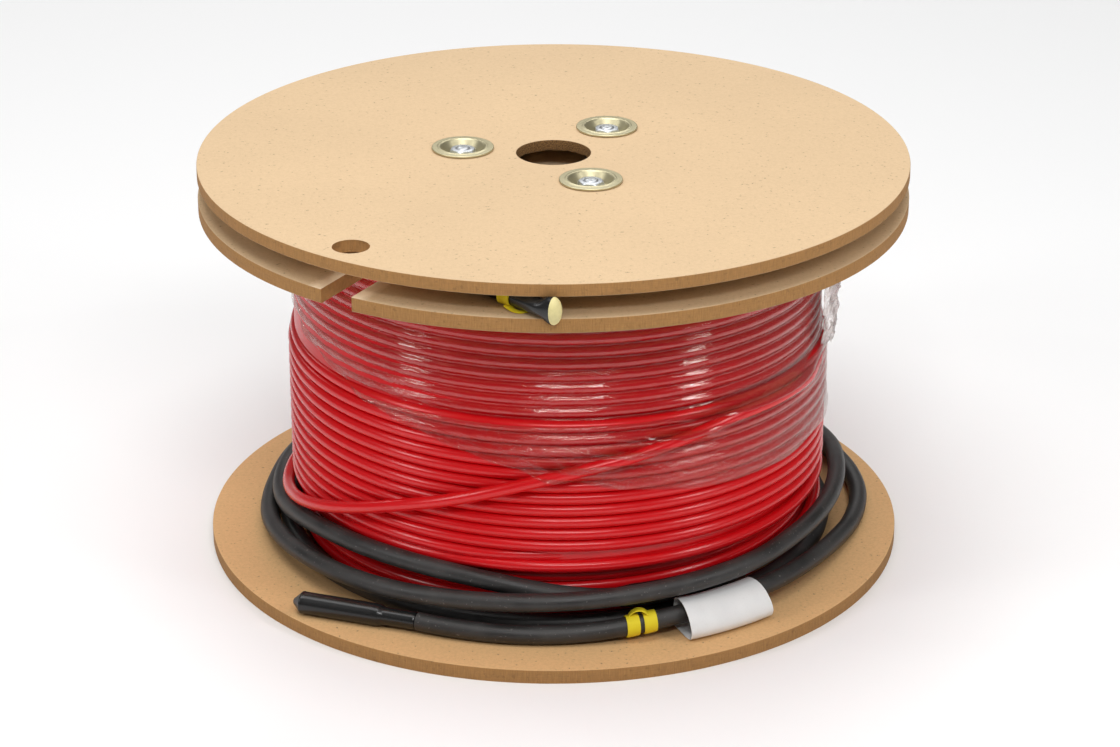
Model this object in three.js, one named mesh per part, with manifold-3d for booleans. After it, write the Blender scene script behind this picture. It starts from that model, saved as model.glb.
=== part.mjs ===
// A fibreboard reel of heating cable, standing on its lower flange with the reel's axis upright.
// Millimetres, +Z up, origin on the axis at the underside. Azimuth 0 is the front (-Y),
// and it grows to the right.
import * as THREE from 'three';
import Module from 'manifold-3d';
import { mergeVertices } from 'three/addons/utils/BufferGeometryUtils.js';

const wasm = await Module();
wasm.setup();

// Boards of the reel
const CLEARANCE = 0.3;
const FLANGE_RADIUS = 200;
const BOTTOM_THICKNESS = 8;
const INNER_WIDTH = 195;
const WINDING_FLANGE_THICKNESS = 8;
const TAIL_GAP = 12;
const TOP_THICKNESS = 7;
const SPINDLE_BORE_RADIUS = 21;
const EDGE_HOLE_RADIUS = 10;
const EDGE_HOLE_INSET = 19;
const EDGE_HOLE_AZIMUTH = -35.6;
const BOARD_SEGMENTS = 48;

// Slot that lets the inner end of the cable out of the winding
const SLOT_WIDTH = 20;
const SLOT_AZIMUTH = -29.4;
const SLOT_OFFSET = 17;
const SLOT_INNER_END = 85;
const SLOT_OVERRUN = 10;

// Barrel and what clamps the boards to it
const BARREL_RADIUS = 75;
const BARREL_WALL = 5;
const BOLT_CIRCLE_RADIUS = 51.5;
const BOLT_AZIMUTHS = [-96.4, 143.6, 23.6];
const BOLT_RADIUS = 4;
const BOLT_END_STAND = 0.6;
const BOLT_HEAD_HEIGHT = 5.3;
const HEX_ACROSS_FLATS = 13;
const NUT_HEIGHT = 4.4;
const SPACER_RADIUS = 11;
const WASHER_RADIUS = 17.6;
const WASHER_SHEET = 1.2;
const DISH_RADIUS = 13.3;
const DISH_FLOOR_RADIUS = 9.2;
const DISH_DEPTH = 5.8;
const ROUND_SEGMENTS = 16;

// Red heating cable
const CABLE_RADIUS = 3.5;
const WINDING_SEGMENTS = 32;
const TURNS_ACROSS = 27;
const FOOT_TURNS = 5;
const LAYERS = 12;
const LAYER_RISE = 6.6;
const GROOVE_DEPTH = 2.4;

// Black cold lead, its joint to the heating cable and its cap
const LEAD_RADIUS = 5.2;
const LEAD_STEPS = 80;
const JOINT_RADIUS = 6.5;
const JOINT_START = 42;
const JOINT_END = 13;
const JOINT_FACE_GAP = 0.8;
const CAP_RADIUS = 6.2;
const CAP_NECK_RADIUS = 5;
const CAP_NECK_LENGTH = 20;
const CAP_LENGTH = 73.5;
const CAP_CONE = 5.5;
const CAP_STEP = 2;
const CAP_BLUNT = 0.4;
const CAP_TIP = [-47.9, 40.8, 6.6];

// Yellow tie and paper label on the lead
const TIE_AZIMUTHS = [14.5, 17.8];
const TIE_WIDTH = 7.2;
const TIE_SHEET = 0.7;
const TIE_SLACK = 1.4;
const TIE_BRIDGE_WIDTH = 3.4;
const LABEL_AZIMUTH = 32.2;
const LABEL_LENGTH = 50;
const LABEL_INNER = 8.1;
const LABEL_BASE = 0.8;
const LABEL_CORNER = 2.2;
const LABEL_SHOULDER = [16.5, 18.8];
const LABEL_FOLD = [31.1, 6];
const PAPER = 0.6;

// Stretch film, whose lower edge runs in a slanting plane
const FILM = 0.6;
const FILM_EDGE = { height: 114, alongX: -0.218, alongY: 0.142 };

// Inner end of the cable, in the gap under the top flange
const TAIL_STEPS = 16;
const TAIL_SLEEVE_RADIUS = 4.6;
const TAIL_FLARE = { height: 15.5, width: 8, length: 9 };
const BEAD = { height: 15.6, width: 10, thickness: 9 };
const TAIL_TIE_WIDTH = 6;
const TAIL_TONGUE = { length: 13, width: 3.4, thickness: 0.8 };

// Heights that follow from the boards
const FOOT = BOTTOM_THICKNESS + CLEARANCE;
const WINDING_FLANGE_BASE = BOTTOM_THICKNESS + INNER_WIDTH;
const TAIL_FLOOR = WINDING_FLANGE_BASE + WINDING_FLANGE_THICKNESS;
const TOP_BASE = TAIL_FLOOR + TAIL_GAP;
const TOP_FACE = TOP_BASE + TOP_THICKNESS;
const TAIL_HEIGHT = TAIL_FLOOR + TAIL_GAP / 2;
const BARREL_TOP = WINDING_FLANGE_BASE - CLEARANCE;
const BORE_RADIUS = BARREL_RADIUS + CLEARANCE;
const CREST_RADIUS = BORE_RADIUS + LAYERS * LAYER_RISE;
const FOOT_CREST_RADIUS = CREST_RADIUS - LAYER_RISE;
const TURN_PITCH = (BARREL_TOP - FOOT) / TURNS_ACROSS;
const DISH_HOLE_RADIUS = DISH_RADIUS + 2 * CLEARANCE;
const BOLT_HOLE_RADIUS = BOLT_RADIUS + CLEARANCE;

// The last turn of heating cable: azimuth, distance beyond the winding's crest, height above the lower board
const LAST_TURN_ROUTE = [
  [62, 4.4, 115.6], [50, 4.4, 116.8], [37.5, 4.4, 116], [26.8, 4.4, 111.4], [16, 4.4, 105],
  [5.4, 4.4, 98.6], [-5.4, 4.4, 90.5], [-21.4, 4.4, 76], [-32, 4.4, 66.7], [-43, 4.4, 56.3],
  [-53.6, 4.2, 46.6], [-64, 3.1, 38.4], [-75, 1.3, 30.8], [-85, 0.4, 25.8], [-95, -0.5, 24],
  [-110, -1.9, 22.6], [-130, -2.1, 23], [-150, -2.1, 23.4], [-170, -2.1, 23.4], [-190, -2.1, 23.2],
  [-210, -2.1, 23], [-230, -2.1, 22.8], [-250, -2.1, 22], [-270, -2.1, 20.4], [-290, -1.9, 18.9],
  [-305, -0.7, 18.8], [-318, 1.1, 19.3],
];

// The lead from its joint to its cap: degrees travelled, distance beyond the winding's crest,
// height above the lower board
const LEAD_ROUTE = [
  [0, 1.1, 19.3], [5, 1.3, 20.4], [13, 1.9, 23.9], [23, 2.5, 28.9], [34, 2.9, 32.4],
  [46, 3.1, 33.8], [59, 2.9, 33], [69, 2.5, 30.8], [80, 2.3, 25.6], [89, 2.7, 20.2],
  [98, 4.4, 16.6], [107, 6.1, 15.2], [123, 8.3, 14.8], [138, 10.7, 10.2], [151, 12.1, 5.8],
  [165, 12.3, 5.5], [189, 11.8, 5.5], [203, 10.1, 5.5], [223, 6.7, 5.5], [243, 3.9, 5.5],
  [263, 2.3, 5.5], [283, 1.9, 5.5], [303, 1.5, 5.5], [323, 0.9, 5.5], [343, 0.7, 5.5],
  [373, 0.7, 5.5], [403, 0.5, 5.5], [433, 0.4, 5.5], [463, 0.3, 5.5], [483, 0.3, 5.5],
  [498, 0.4, 5.7], [511, 1.1, 8.8], [523, 4.3, 14.6], [536, 9.5, 17.3], [549, 14.9, 16.8],
  [563, 18.4, 15.8], [583, 20, 15.8], [603, 20.5, 16.4], [618, 19.9, 18.2], [629, 16.5, 21.6],
  [636, 13.3, 24.8], [643, 11.1, 27.3], [653, 9.9, 29], [663, 9.9, 30], [673, 10.5, 30.2],
  [681, 11.3, 30], [691, 13.1, 29], [703, 13.9, 28], [715, 13.9, 26.8], [725, 13.5, 25.4],
  [733, 13.3, 24.3], [743, 13.5, 23.2], [753, 13.5, 21.8], [763, 13.5, 20], [774, 13.5, 18.4],
  [789, 13.5, 16.4], [803, 12.9, 12.8], [813, 12.4, 9], [823, 12.2, 6.3], [833, 13.1, 5.5],
  [843, 16.1, 5.5], [858, 21.1, 5.5], [871, 23.8, 5.5], [888, 24.8, 5.5], [909, 24.9, 5.5],
  [923, 25.4, 5.5], [943, 26.2, 5.5], [963, 27.1, 5.5], [978, 27.5, 5.5], [990, 27.2, 5.5],
  [998.5, 25.9, 5.5], [1006, 23.2, 5.5], [1014, 19.7, 6], [1023, 16.9, 8.6], [1033, 16.1, 11.3],
  [1048, 16.2, 12.6], [1063, 16, 12], [1073, 15.7, 10.2], [1084, 15.3, 7.2], [1093, 15.5, 5.8],
  [1103, 16.2, 5.6], [1112, 16.8, 6], [1118.4, 17.8, 6.5],
];

// The inner end of the cable, from the slot round to the front of the gap: x, y, height from the gap's middle
const TAIL_ROUTE = [
  [-63.9, -78.8, -10.2], [-72.2, -93.5, -8.4], [-80, -107.2, -4], [-84.8, -117.4, -1], [-86.8, -128, 0],
  [-84, -138.6, 0], [-76, -146.6, 0], [-64, -151.6, 0], [-50, -157.6, 0],
];
const SLEEVE_ROUTE = [[-49.1, -158.1, 0], [-37, -167.5, 0], [-22, -182.9, 0], [-7.4, -197.8, 0]];
const FLARE_START = [-6.7, -198.4, 0];
const FLARE_AZIMUTH = 52;
const TAIL_TIE_PLACE = [-22.3, -182.6, 0];
const TAIL_TIE_TURN = 45.5;

const board = new THREE.MeshStandardMaterial({ color: 0xe0bd8c, roughness: 0.85 });
const darkBoard = new THREE.MeshStandardMaterial({ color: 0xc4935a, roughness: 0.85 });
const card = new THREE.MeshStandardMaterial({ color: 0xa58662, roughness: 0.9 });
const yellowZinc = new THREE.MeshStandardMaterial({ color: 0xc2b779, roughness: 0.35, metalness: 0.9 });
const brightZinc = new THREE.MeshStandardMaterial({ color: 0xc9ced2, roughness: 0.35, metalness: 0.9 });
const redSheath = new THREE.MeshStandardMaterial({ color: 0xd80a0e, roughness: 0.38 });
const blackRubber = new THREE.MeshStandardMaterial({ color: 0x2b2a2a, roughness: 0.6 });
const blackShrink = new THREE.MeshStandardMaterial({ color: 0x0b0b0c, roughness: 0.25 });
const yellowPlastic = new THREE.MeshStandardMaterial({ color: 0xe6cf08, roughness: 0.5 });
const creamPlastic = new THREE.MeshStandardMaterial({ color: 0xe4d98f, roughness: 0.6 });
const paper = new THREE.MeshStandardMaterial({ color: 0xe9e9e6, roughness: 0.7 });
const clearFilm = new THREE.MeshStandardMaterial({
  color: 0xf2dede, roughness: 0.1, transparent: true, opacity: 0.3,
});

const reel = new THREE.Group();

function add(name, geometry, material) {
  const mesh = new THREE.Mesh(geometry, material);
  mesh.name = name;
  reel.add(mesh);
  return mesh;
}

// A point at an azimuth in degrees, a distance from the axis and a height
function around(azimuth, radius, height) {
  const angle = THREE.MathUtils.degToRad(azimuth);
  return new THREE.Vector3(radius * Math.sin(angle), -radius * Math.cos(angle), height);
}

// A route's place, given from the winding's crest and the lower board, measured from the axis and the floor
function onReel([azimuth, beyond, height]) {
  return [azimuth, CREST_RADIUS + beyond, BOTTOM_THICKNESS + height];
}

// A point in the gap under the top board, given by x, y and its height from the gap's middle
function inGap([x, y, height]) {
  return new THREE.Vector3(x, y, TAIL_HEIGHT + height);
}

// Joining and cutting of closed geometries
function toSolid(geometry) {
  const bare = geometry.clone();
  bare.deleteAttribute('normal');
  bare.deleteAttribute('uv');
  const merged = mergeVertices(bare, 1e-4);
  const triVerts = Uint32Array.from(merged.index.array);
  const vertProperties = merged.attributes.position.array;
  return new wasm.Manifold(new wasm.Mesh({ numProp: 3, vertProperties, triVerts }));
}

function toGeometry(solid) {
  const mesh = solid.getMesh();
  const geometry = new THREE.BufferGeometry();
  geometry.setAttribute('position', new THREE.BufferAttribute(mesh.vertProperties, 3));
  geometry.setIndex(new THREE.BufferAttribute(mesh.triVerts, 1));
  geometry.computeVertexNormals();
  return geometry;
}

function cut(geometry, ...tools) {
  return toGeometry(tools.reduce((body, tool) => body.subtract(toSolid(tool)), toSolid(geometry)));
}

function join(geometry, ...others) {
  return toGeometry(others.reduce((body, other) => body.add(toSolid(other)), toSolid(geometry)));
}

// A turned ring: its profile of [radius, height] points closes on itself, up its outer side
function turned(profile, segments) {
  const points = [...profile, profile[0]].map(([radius, height]) => new THREE.Vector2(radius, height));
  return new THREE.LatheGeometry(points, segments).rotateX(Math.PI / 2);
}

function tubeRing(outer, inner, base, top, segments) {
  return turned([[inner, base], [outer, base], [outer, top], [inner, top]], segments);
}

function rod(radius, base, top, segments) {
  const height = top - base;
  const cylinder = new THREE.CylinderGeometry(radius, radius, height, segments);
  return cylinder.rotateX(Math.PI / 2).translate(0, 0, base + height / 2);
}

// A polygon section carried along a route
function swept(radius, sides, route, steps) {
  const corners = Array.from({ length: sides }, (_, side) => {
    const angle = (side + 0.5) * 2 * Math.PI / sides;
    return new THREE.Vector2(radius * Math.cos(angle), radius * Math.sin(angle));
  });
  const section = new THREE.Shape(corners);
  return new THREE.ExtrudeGeometry(section, { steps, bevelEnabled: false, extrudePath: route });
}

// A route wound round the reel. Its steps stand at even shares of its azimuth, so that turns side by side
// stay parallel.
class WoundRoute extends THREE.CatmullRomCurve3 {
  constructor(places) {
    super(places.map(([azimuth, radius, height]) => around(azimuth, radius, height)), false, 'centripetal');
    this.places = places;
  }

  getPoint(share, target = new THREE.Vector3()) {
    const first = this.places[0][0];
    const last = this.places[this.places.length - 1][0];
    const azimuth = THREE.MathUtils.lerp(first, last, share);
    const sign = Math.sign(last - first);
    let index = this.places.findIndex(place => sign * (place[0] - azimuth) > 0);
    if (index < 0) index = this.places.length - 1;
    const at = offset => this.places[THREE.MathUtils.clamp(index + offset, 0, this.places.length - 1)];
    const [before, left, right, after] = [at(-2), at(-1), at(0), at(1)];
    const span = right[0] - left[0];
    const local = (azimuth - left[0]) / span;
    const value = axis => {
      const slopeLeft = span * (right[axis] - before[axis]) / (right[0] - before[0]);
      const slopeRight = span * (after[axis] - left[axis]) / (after[0] - left[0]);
      const square = local * local;
      const cube = square * local;
      return (2 * cube - 3 * square + 1) * left[axis] + (cube - 2 * square + local) * slopeLeft
        + (3 * square - 2 * cube) * right[axis] + (cube - square) * slopeRight;
    };
    return target.copy(around(azimuth, value(1), value(2)));
  }

  getUtoTmapping(share) {
    return share;
  }
}

// Boards
function disc(thickness, base, holes) {
  const outline = new THREE.Shape().absarc(0, 0, FLANGE_RADIUS, 0, 2 * Math.PI);
  for (const [radius, x, y] of holes) {
    outline.holes.push(new THREE.Path().absarc(x, y, radius, 0, 2 * Math.PI, true));
  }
  const options = { depth: thickness, bevelEnabled: false, curveSegments: BOARD_SEGMENTS };
  return new THREE.ExtrudeGeometry(outline, options).translate(0, 0, base);
}

function boltPlaces() {
  return BOLT_AZIMUTHS.map(azimuth => around(azimuth, BOLT_CIRCLE_RADIUS, 0));
}

function boltHoles(radius, base, top) {
  return boltPlaces().map(place => rod(radius, base, top, ROUND_SEGMENTS).translate(place.x, place.y, 0));
}

function spindleBore(base, top) {
  return rod(SPINDLE_BORE_RADIUS, base - 1, top + 1, 40);
}

function makeBottomFlange() {
  const blank = disc(BOTTOM_THICKNESS, 0, []);
  const rimSeat = WASHER_SHEET + 2 * CLEARANCE;
  return cut(blank, spindleBore(0, BOTTOM_THICKNESS),
    ...boltHoles(DISH_HOLE_RADIUS, -1, BOTTOM_THICKNESS + 1),
    ...boltHoles(WASHER_RADIUS + 2 * CLEARANCE, -1, rimSeat));
}

function makeWindingFlange() {
  const blank = disc(WINDING_FLANGE_THICKNESS, WINDING_FLANGE_BASE, []);
  const reach = FLANGE_RADIUS + SLOT_OVERRUN - SLOT_INNER_END;
  const slot = new THREE.BoxGeometry(SLOT_WIDTH, reach, WINDING_FLANGE_THICKNESS + 2);
  const middle = WINDING_FLANGE_BASE + WINDING_FLANGE_THICKNESS / 2;
  slot.translate(-SLOT_OFFSET, -SLOT_INNER_END - reach / 2, middle);
  slot.rotateZ(THREE.MathUtils.degToRad(SLOT_AZIMUTH));
  return cut(blank, spindleBore(WINDING_FLANGE_BASE, TAIL_FLOOR), slot,
    ...boltHoles(BOLT_HOLE_RADIUS, WINDING_FLANGE_BASE - 1, TAIL_FLOOR + 1));
}

function makeTopFlange() {
  const edgeHole = around(EDGE_HOLE_AZIMUTH, FLANGE_RADIUS - EDGE_HOLE_INSET, 0);
  const blank = disc(TOP_THICKNESS, TOP_BASE, []);
  const hole = rod(EDGE_HOLE_RADIUS, TOP_BASE - 1, TOP_FACE + 1, 24).translate(edgeHole.x, edgeHole.y, 0);
  return cut(blank, spindleBore(TOP_BASE, TOP_FACE), hole,
    ...boltHoles(DISH_HOLE_RADIUS, TOP_BASE - 1, TOP_FACE + 1));
}

add('bottom_flange', makeBottomFlange(), darkBoard);
add('winding_flange', makeWindingFlange(), board);
add('top_flange', makeTopFlange(), board);
add('barrel', tubeRing(BARREL_RADIUS, BARREL_RADIUS - BARREL_WALL, FOOT, BARREL_TOP, WINDING_SEGMENTS), card);

// Bolts, dished washers, nuts and spacers
function dishedWasher(seat, side) {
  const profile = [
    [BOLT_HOLE_RADIUS, -DISH_DEPTH], [DISH_FLOOR_RADIUS, -DISH_DEPTH], [DISH_RADIUS, 0], [WASHER_RADIUS, 0],
    [WASHER_RADIUS, WASHER_SHEET], [DISH_RADIUS - 0.4, WASHER_SHEET],
    [DISH_FLOOR_RADIUS - 0.6, WASHER_SHEET - DISH_DEPTH], [BOLT_HOLE_RADIUS, WASHER_SHEET - DISH_DEPTH],
  ].map(([radius, height]) => [radius, seat + side * height]);
  return turned(side > 0 ? profile : profile.reverse(), ROUND_SEGMENTS);
}

function hexagon(base, height) {
  const corner = HEX_ACROSS_FLATS / 2 / Math.cos(Math.PI / 6);
  return rod(corner, base, base + height, 6);
}

const LOWER_SEAT = CLEARANCE + WASHER_SHEET;
const UPPER_SEAT = TOP_FACE + CLEARANCE;
const HEAD_TOP = LOWER_SEAT + DISH_DEPTH - WASHER_SHEET - CLEARANCE;
const NUT_BASE = UPPER_SEAT - DISH_DEPTH + WASHER_SHEET + CLEARANCE;

function makeBolt() {
  const shank = rod(BOLT_RADIUS, HEAD_TOP - 1, NUT_BASE + NUT_HEIGHT + BOLT_END_STAND, ROUND_SEGMENTS);
  return join(shank, hexagon(HEAD_TOP - BOLT_HEAD_HEIGHT, BOLT_HEAD_HEIGHT));
}

function makeNut() {
  const thread = rod(BOLT_HOLE_RADIUS, NUT_BASE - 1, NUT_BASE + NUT_HEIGHT + 1, ROUND_SEGMENTS);
  return cut(hexagon(NUT_BASE, NUT_HEIGHT), thread);
}

boltPlaces().forEach((place, index) => {
  const number = index + 1;
  const [spacerBase, spacerTop] = [TAIL_FLOOR + CLEARANCE, TOP_BASE - CLEARANCE];
  const spacer = tubeRing(SPACER_RADIUS, BOLT_HOLE_RADIUS, spacerBase, spacerTop, ROUND_SEGMENTS);
  add(`bolt_${number}`, makeBolt(), brightZinc).position.copy(place);
  add(`nut_${number}`, makeNut(), brightZinc).position.copy(place);
  add(`upper_washer_${number}`, dishedWasher(UPPER_SEAT, 1), yellowZinc).position.copy(place);
  add(`lower_washer_${number}`, dishedWasher(LOWER_SEAT, -1), yellowZinc).position.copy(place);
  add(`spacer_${number}`, spacer, card).position.copy(place);
});

// Winding: one turned body, grooved between its turns outside and between its layers on both ends
function makeWinding() {
  const profile = [];
  for (let layer = 0; layer < LAYERS - 1; layer++) {
    const inner = BORE_RADIUS + layer * LAYER_RISE;
    profile.push([inner, FOOT + GROOVE_DEPTH], [inner + LAYER_RISE / 2, FOOT]);
  }
  for (let turn = 0; turn < TURNS_ACROSS; turn++) {
    const crest = turn < FOOT_TURNS ? FOOT_CREST_RADIUS : CREST_RADIUS;
    const height = FOOT + turn * TURN_PITCH;
    profile.push([crest - GROOVE_DEPTH, height], [crest, height + TURN_PITCH / 2]);
  }
  for (let layer = LAYERS; layer > 0; layer--) {
    const outer = BORE_RADIUS + layer * LAYER_RISE;
    const groove = layer === LAYERS ? outer - GROOVE_DEPTH : outer;
    profile.push([groove, BARREL_TOP - GROOVE_DEPTH], [outer - LAYER_RISE / 2, BARREL_TOP]);
  }
  profile.push([BORE_RADIUS, BARREL_TOP - GROOVE_DEPTH]);
  return turned(profile, WINDING_SEGMENTS);
}

const lastTurn = new WoundRoute(LAST_TURN_ROUTE.map(onReel));
add('cable_winding', makeWinding(), redSheath);
add('last_turn', swept(CABLE_RADIUS, 8, lastTurn, 56), redSheath);

// Lead with its joint sleeve, cap, tie and label
const leadPlaces = LEAD_ROUTE.map(([travelled, ...place]) => onReel([JOINT_END - travelled, ...place]));
const lead = new WoundRoute(leadPlaces);
const [, jointDistance, jointHeight] = leadPlaces[0];
const endGap = THREE.MathUtils.radToDeg(JOINT_FACE_GAP / jointDistance);
const joint = new WoundRoute([
  [JOINT_START - endGap, jointDistance, jointHeight], [JOINT_END + endGap, jointDistance, jointHeight],
]);
add('splice_sleeve', swept(JOINT_RADIUS, 10, joint, 6), blackShrink);
add('cold_lead', swept(LEAD_RADIUS, 8, lead, LEAD_STEPS), blackRubber);

function makeCap() {
  const profile = [
    [0, 0], [CAP_NECK_RADIUS, 0], [CAP_NECK_RADIUS, CAP_NECK_LENGTH], [CAP_RADIUS, CAP_NECK_LENGTH + CAP_STEP],
    [CAP_RADIUS, CAP_LENGTH - CAP_CONE], [0.3 * CAP_RADIUS, CAP_LENGTH - CAP_BLUNT], [0, CAP_LENGTH],
  ].map(([radius, height]) => new THREE.Vector2(radius, height));
  return new THREE.LatheGeometry(profile, 16);
}

const leadEnd = lead.getPoint(1);
const capAxis = around(...onReel(CAP_TIP)).sub(leadEnd).normalize();
const cap = add('lead_end_cap', makeCap(), blackShrink);
cap.position.copy(leadEnd).addScaledVector(capAxis, JOINT_FACE_GAP);
cap.quaternion.setFromUnitVectors(new THREE.Vector3(0, 1, 0), capAxis);

// A place on the lead as it passes the front for the last time
function leadAt(azimuth) {
  const total = LEAD_ROUTE[LEAD_ROUTE.length - 1][0];
  const share = (JOINT_END - azimuth + 1080) / total;
  return lead.getPoint(share);
}

function makeTie() {
  const inner = LEAD_RADIUS + TIE_SLACK;
  const outer = inner + TIE_SHEET;
  const wraps = TIE_AZIMUTHS.map(azimuth => {
    const wrap = tubeRing(outer, inner, -TIE_WIDTH / 2, TIE_WIDTH / 2, 16).rotateY(Math.PI / 2);
    const place = leadAt(azimuth);
    return wrap.rotateZ(THREE.MathUtils.degToRad(azimuth)).translate(place.x, place.y, place.z);
  });
  const middleAzimuth = (TIE_AZIMUTHS[0] + TIE_AZIMUTHS[1]) / 2;
  const middle = leadAt(middleAzimuth);
  const span = leadAt(TIE_AZIMUTHS[0]).distanceTo(leadAt(TIE_AZIMUTHS[1]));
  const bridge = new THREE.BoxGeometry(span, TIE_BRIDGE_WIDTH, TIE_SHEET);
  bridge.rotateZ(THREE.MathUtils.degToRad(middleAzimuth));
  bridge.translate(middle.x, middle.y, middle.z + inner + TIE_SHEET / 2);
  return join(wraps[0], wraps[1], bridge);
}

// A section drawn in distance and height, carried round the reel's axis
function bentRound(section, azimuth, length, distance, steps) {
  const options = { depth: length, steps, bevelEnabled: false, curveSegments: 3 };
  const geometry = new THREE.ExtrudeGeometry(section, options);
  const position = geometry.attributes.position;
  for (let index = 0; index < position.count; index++) {
    const turn = THREE.MathUtils.radToDeg((length / 2 - position.getZ(index)) / distance);
    const place = around(azimuth + turn, position.getX(index), position.getY(index));
    position.setXYZ(index, place.x, place.y, place.z);
  }
  return geometry;
}

function labelLoop(inset) {
  const left = CREST_RADIUS + LABEL_INNER + inset;
  const low = BOTTOM_THICKNESS + LABEL_BASE + inset;
  const shoulder = CREST_RADIUS + LABEL_SHOULDER[0];
  const high = BOTTOM_THICKNESS + LABEL_SHOULDER[1] - inset;
  const fold = CREST_RADIUS + LABEL_FOLD[0] - inset;
  const foldHeight = BOTTOM_THICKNESS + LABEL_FOLD[1];
  const loop = new THREE.Path();
  loop.moveTo(left, low + LABEL_CORNER);
  loop.quadraticCurveTo(left, low, left + LABEL_CORNER, low);
  loop.lineTo(fold - 2 * LABEL_CORNER, low);
  loop.quadraticCurveTo(fold + LABEL_CORNER, low, fold, foldHeight);
  loop.quadraticCurveTo(fold - 2 * LABEL_CORNER, high - LABEL_CORNER, shoulder, high);
  loop.lineTo(left + LABEL_CORNER, high);
  loop.quadraticCurveTo(left, high, left, high - LABEL_CORNER);
  loop.closePath();
  return loop;
}

function makeLabel() {
  const section = new THREE.Shape(labelLoop(0).getPoints(3));
  section.holes.push(labelLoop(PAPER));
  return bentRound(section, LABEL_AZIMUTH, LABEL_LENGTH, CREST_RADIUS + LABEL_SHOULDER[0], 5);
}

add('lead_tie', makeTie(), yellowPlastic);
add('lead_label', makeLabel(), paper);

// Film round the upper part of the winding, open where the last turn runs under it
function makeFilm() {
  const inner = CREST_RADIUS + 2 * CLEARANCE;
  const top = BARREL_TOP - CLEARANCE;
  const ring = tubeRing(inner + FILM, inner, 0, top, WINDING_SEGMENTS);
  const position = ring.attributes.position;
  for (let index = 0; index < position.count; index++) {
    if (position.getZ(index) < top / 2) {
      const rise = FILM_EDGE.alongX * position.getX(index) + FILM_EDGE.alongY * position.getY(index);
      position.setZ(index, BOTTOM_THICKNESS + FILM_EDGE.height + rise);
    }
  }
  const under = LAST_TURN_ROUTE.filter(([azimuth]) => azimuth > -25).map(onReel);
  const [azimuth, distance, height] = under[0];
  const channel = new WoundRoute([[azimuth + 3, distance, height], ...under]);
  return cut(ring, swept(CABLE_RADIUS + 1, 8, channel, 14));
}

add('stretch_film', makeFilm(), clearFilm);

// Inner end of the cable
function gapCurve(places) {
  return new THREE.CatmullRomCurve3(places.map(inGap), false, 'centripetal');
}

function placeFlare(geometry) {
  return geometry.rotateZ(THREE.MathUtils.degToRad(FLARE_AZIMUTH)).translate(...inGap(FLARE_START));
}

function makeTailSleeve() {
  const tube = swept(TAIL_SLEEVE_RADIUS, 10, gapCurve(SLEEVE_ROUTE), 6);
  const { height, width, length } = TAIL_FLARE;
  const neck = TAIL_SLEEVE_RADIUS - CLEARANCE;
  const profile = [
    [0, -length], [neck, -length], [neck, 0], [height / 2, length - 2], [height / 2, length], [0, length],
  ].map(([radius, along]) => new THREE.Vector2(radius, along));
  const flare = new THREE.LatheGeometry(profile, ROUND_SEGMENTS).scale(width / height, 1, 1).rotateZ(Math.PI);
  return join(tube, placeFlare(flare));
}

function makeBead() {
  const { height, width, thickness } = BEAD;
  const bead = new THREE.SphereGeometry(0.5, ROUND_SEGMENTS, 12).scale(width, thickness, height);
  const rearHalf = new THREE.BoxGeometry(2 * width, 2 * thickness, 2 * height).translate(0, thickness, 0);
  return placeFlare(cut(bead, rearHalf).translate(0, -TAIL_FLARE.length - CLEARANCE, 0));
}

function makeTailTie() {
  const inner = TAIL_SLEEVE_RADIUS + 2 * CLEARANCE;
  const ring = tubeRing(inner + TIE_SHEET, inner, -TAIL_TIE_WIDTH / 2, TAIL_TIE_WIDTH / 2, ROUND_SEGMENTS);
  const { length, width, thickness } = TAIL_TONGUE;
  const tongue = new THREE.BoxGeometry(length, width, thickness);
  tongue.translate(length / 2, -width / 2, -TAIL_SLEEVE_RADIUS - thickness);
  const tie = join(ring.rotateY(Math.PI / 2), tongue);
  return tie.rotateZ(THREE.MathUtils.degToRad(-TAIL_TIE_TURN)).translate(...inGap(TAIL_TIE_PLACE));
}

add('cable_tail', swept(CABLE_RADIUS, 8, gapCurve(TAIL_ROUTE), TAIL_STEPS), redSheath);
add('tail_end_sleeve', makeTailSleeve(), blackShrink);
add('tail_end_bead', makeBead(), creamPlastic);
add('tail_tie', makeTailTie(), yellowPlastic);

export default reel;
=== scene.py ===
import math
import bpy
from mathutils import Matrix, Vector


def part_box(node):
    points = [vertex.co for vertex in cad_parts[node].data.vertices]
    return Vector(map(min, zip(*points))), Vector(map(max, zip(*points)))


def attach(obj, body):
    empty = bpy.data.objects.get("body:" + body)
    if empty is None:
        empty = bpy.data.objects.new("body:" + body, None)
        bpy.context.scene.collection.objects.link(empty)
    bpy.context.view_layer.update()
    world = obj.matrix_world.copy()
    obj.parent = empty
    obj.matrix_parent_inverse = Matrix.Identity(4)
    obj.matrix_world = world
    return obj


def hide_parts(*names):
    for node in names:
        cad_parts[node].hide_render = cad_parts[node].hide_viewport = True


bl_info = {
    "name": "Heating Cable Reel",
    "version": (1, 0, 0),
    "blender": (4, 5, 0),
    "location": "View3D > Sidebar > Cable Reel",
    "description": "Dresses a fibreboard reel of red heating cable and its black lead",
    "category": "Object",
}

import bpy
import numpy as np
from mathutils import Vector

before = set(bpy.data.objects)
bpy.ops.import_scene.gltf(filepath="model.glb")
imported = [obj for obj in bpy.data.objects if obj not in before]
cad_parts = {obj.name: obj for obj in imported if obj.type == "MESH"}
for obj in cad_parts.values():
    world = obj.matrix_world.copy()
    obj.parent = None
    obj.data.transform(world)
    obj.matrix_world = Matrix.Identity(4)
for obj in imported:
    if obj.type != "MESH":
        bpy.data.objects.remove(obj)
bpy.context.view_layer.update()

# Shapes are worked out in millimetres, with azimuth 0 at the front (-Y) and growing to the right (+X)
MM = 0.001


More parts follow.
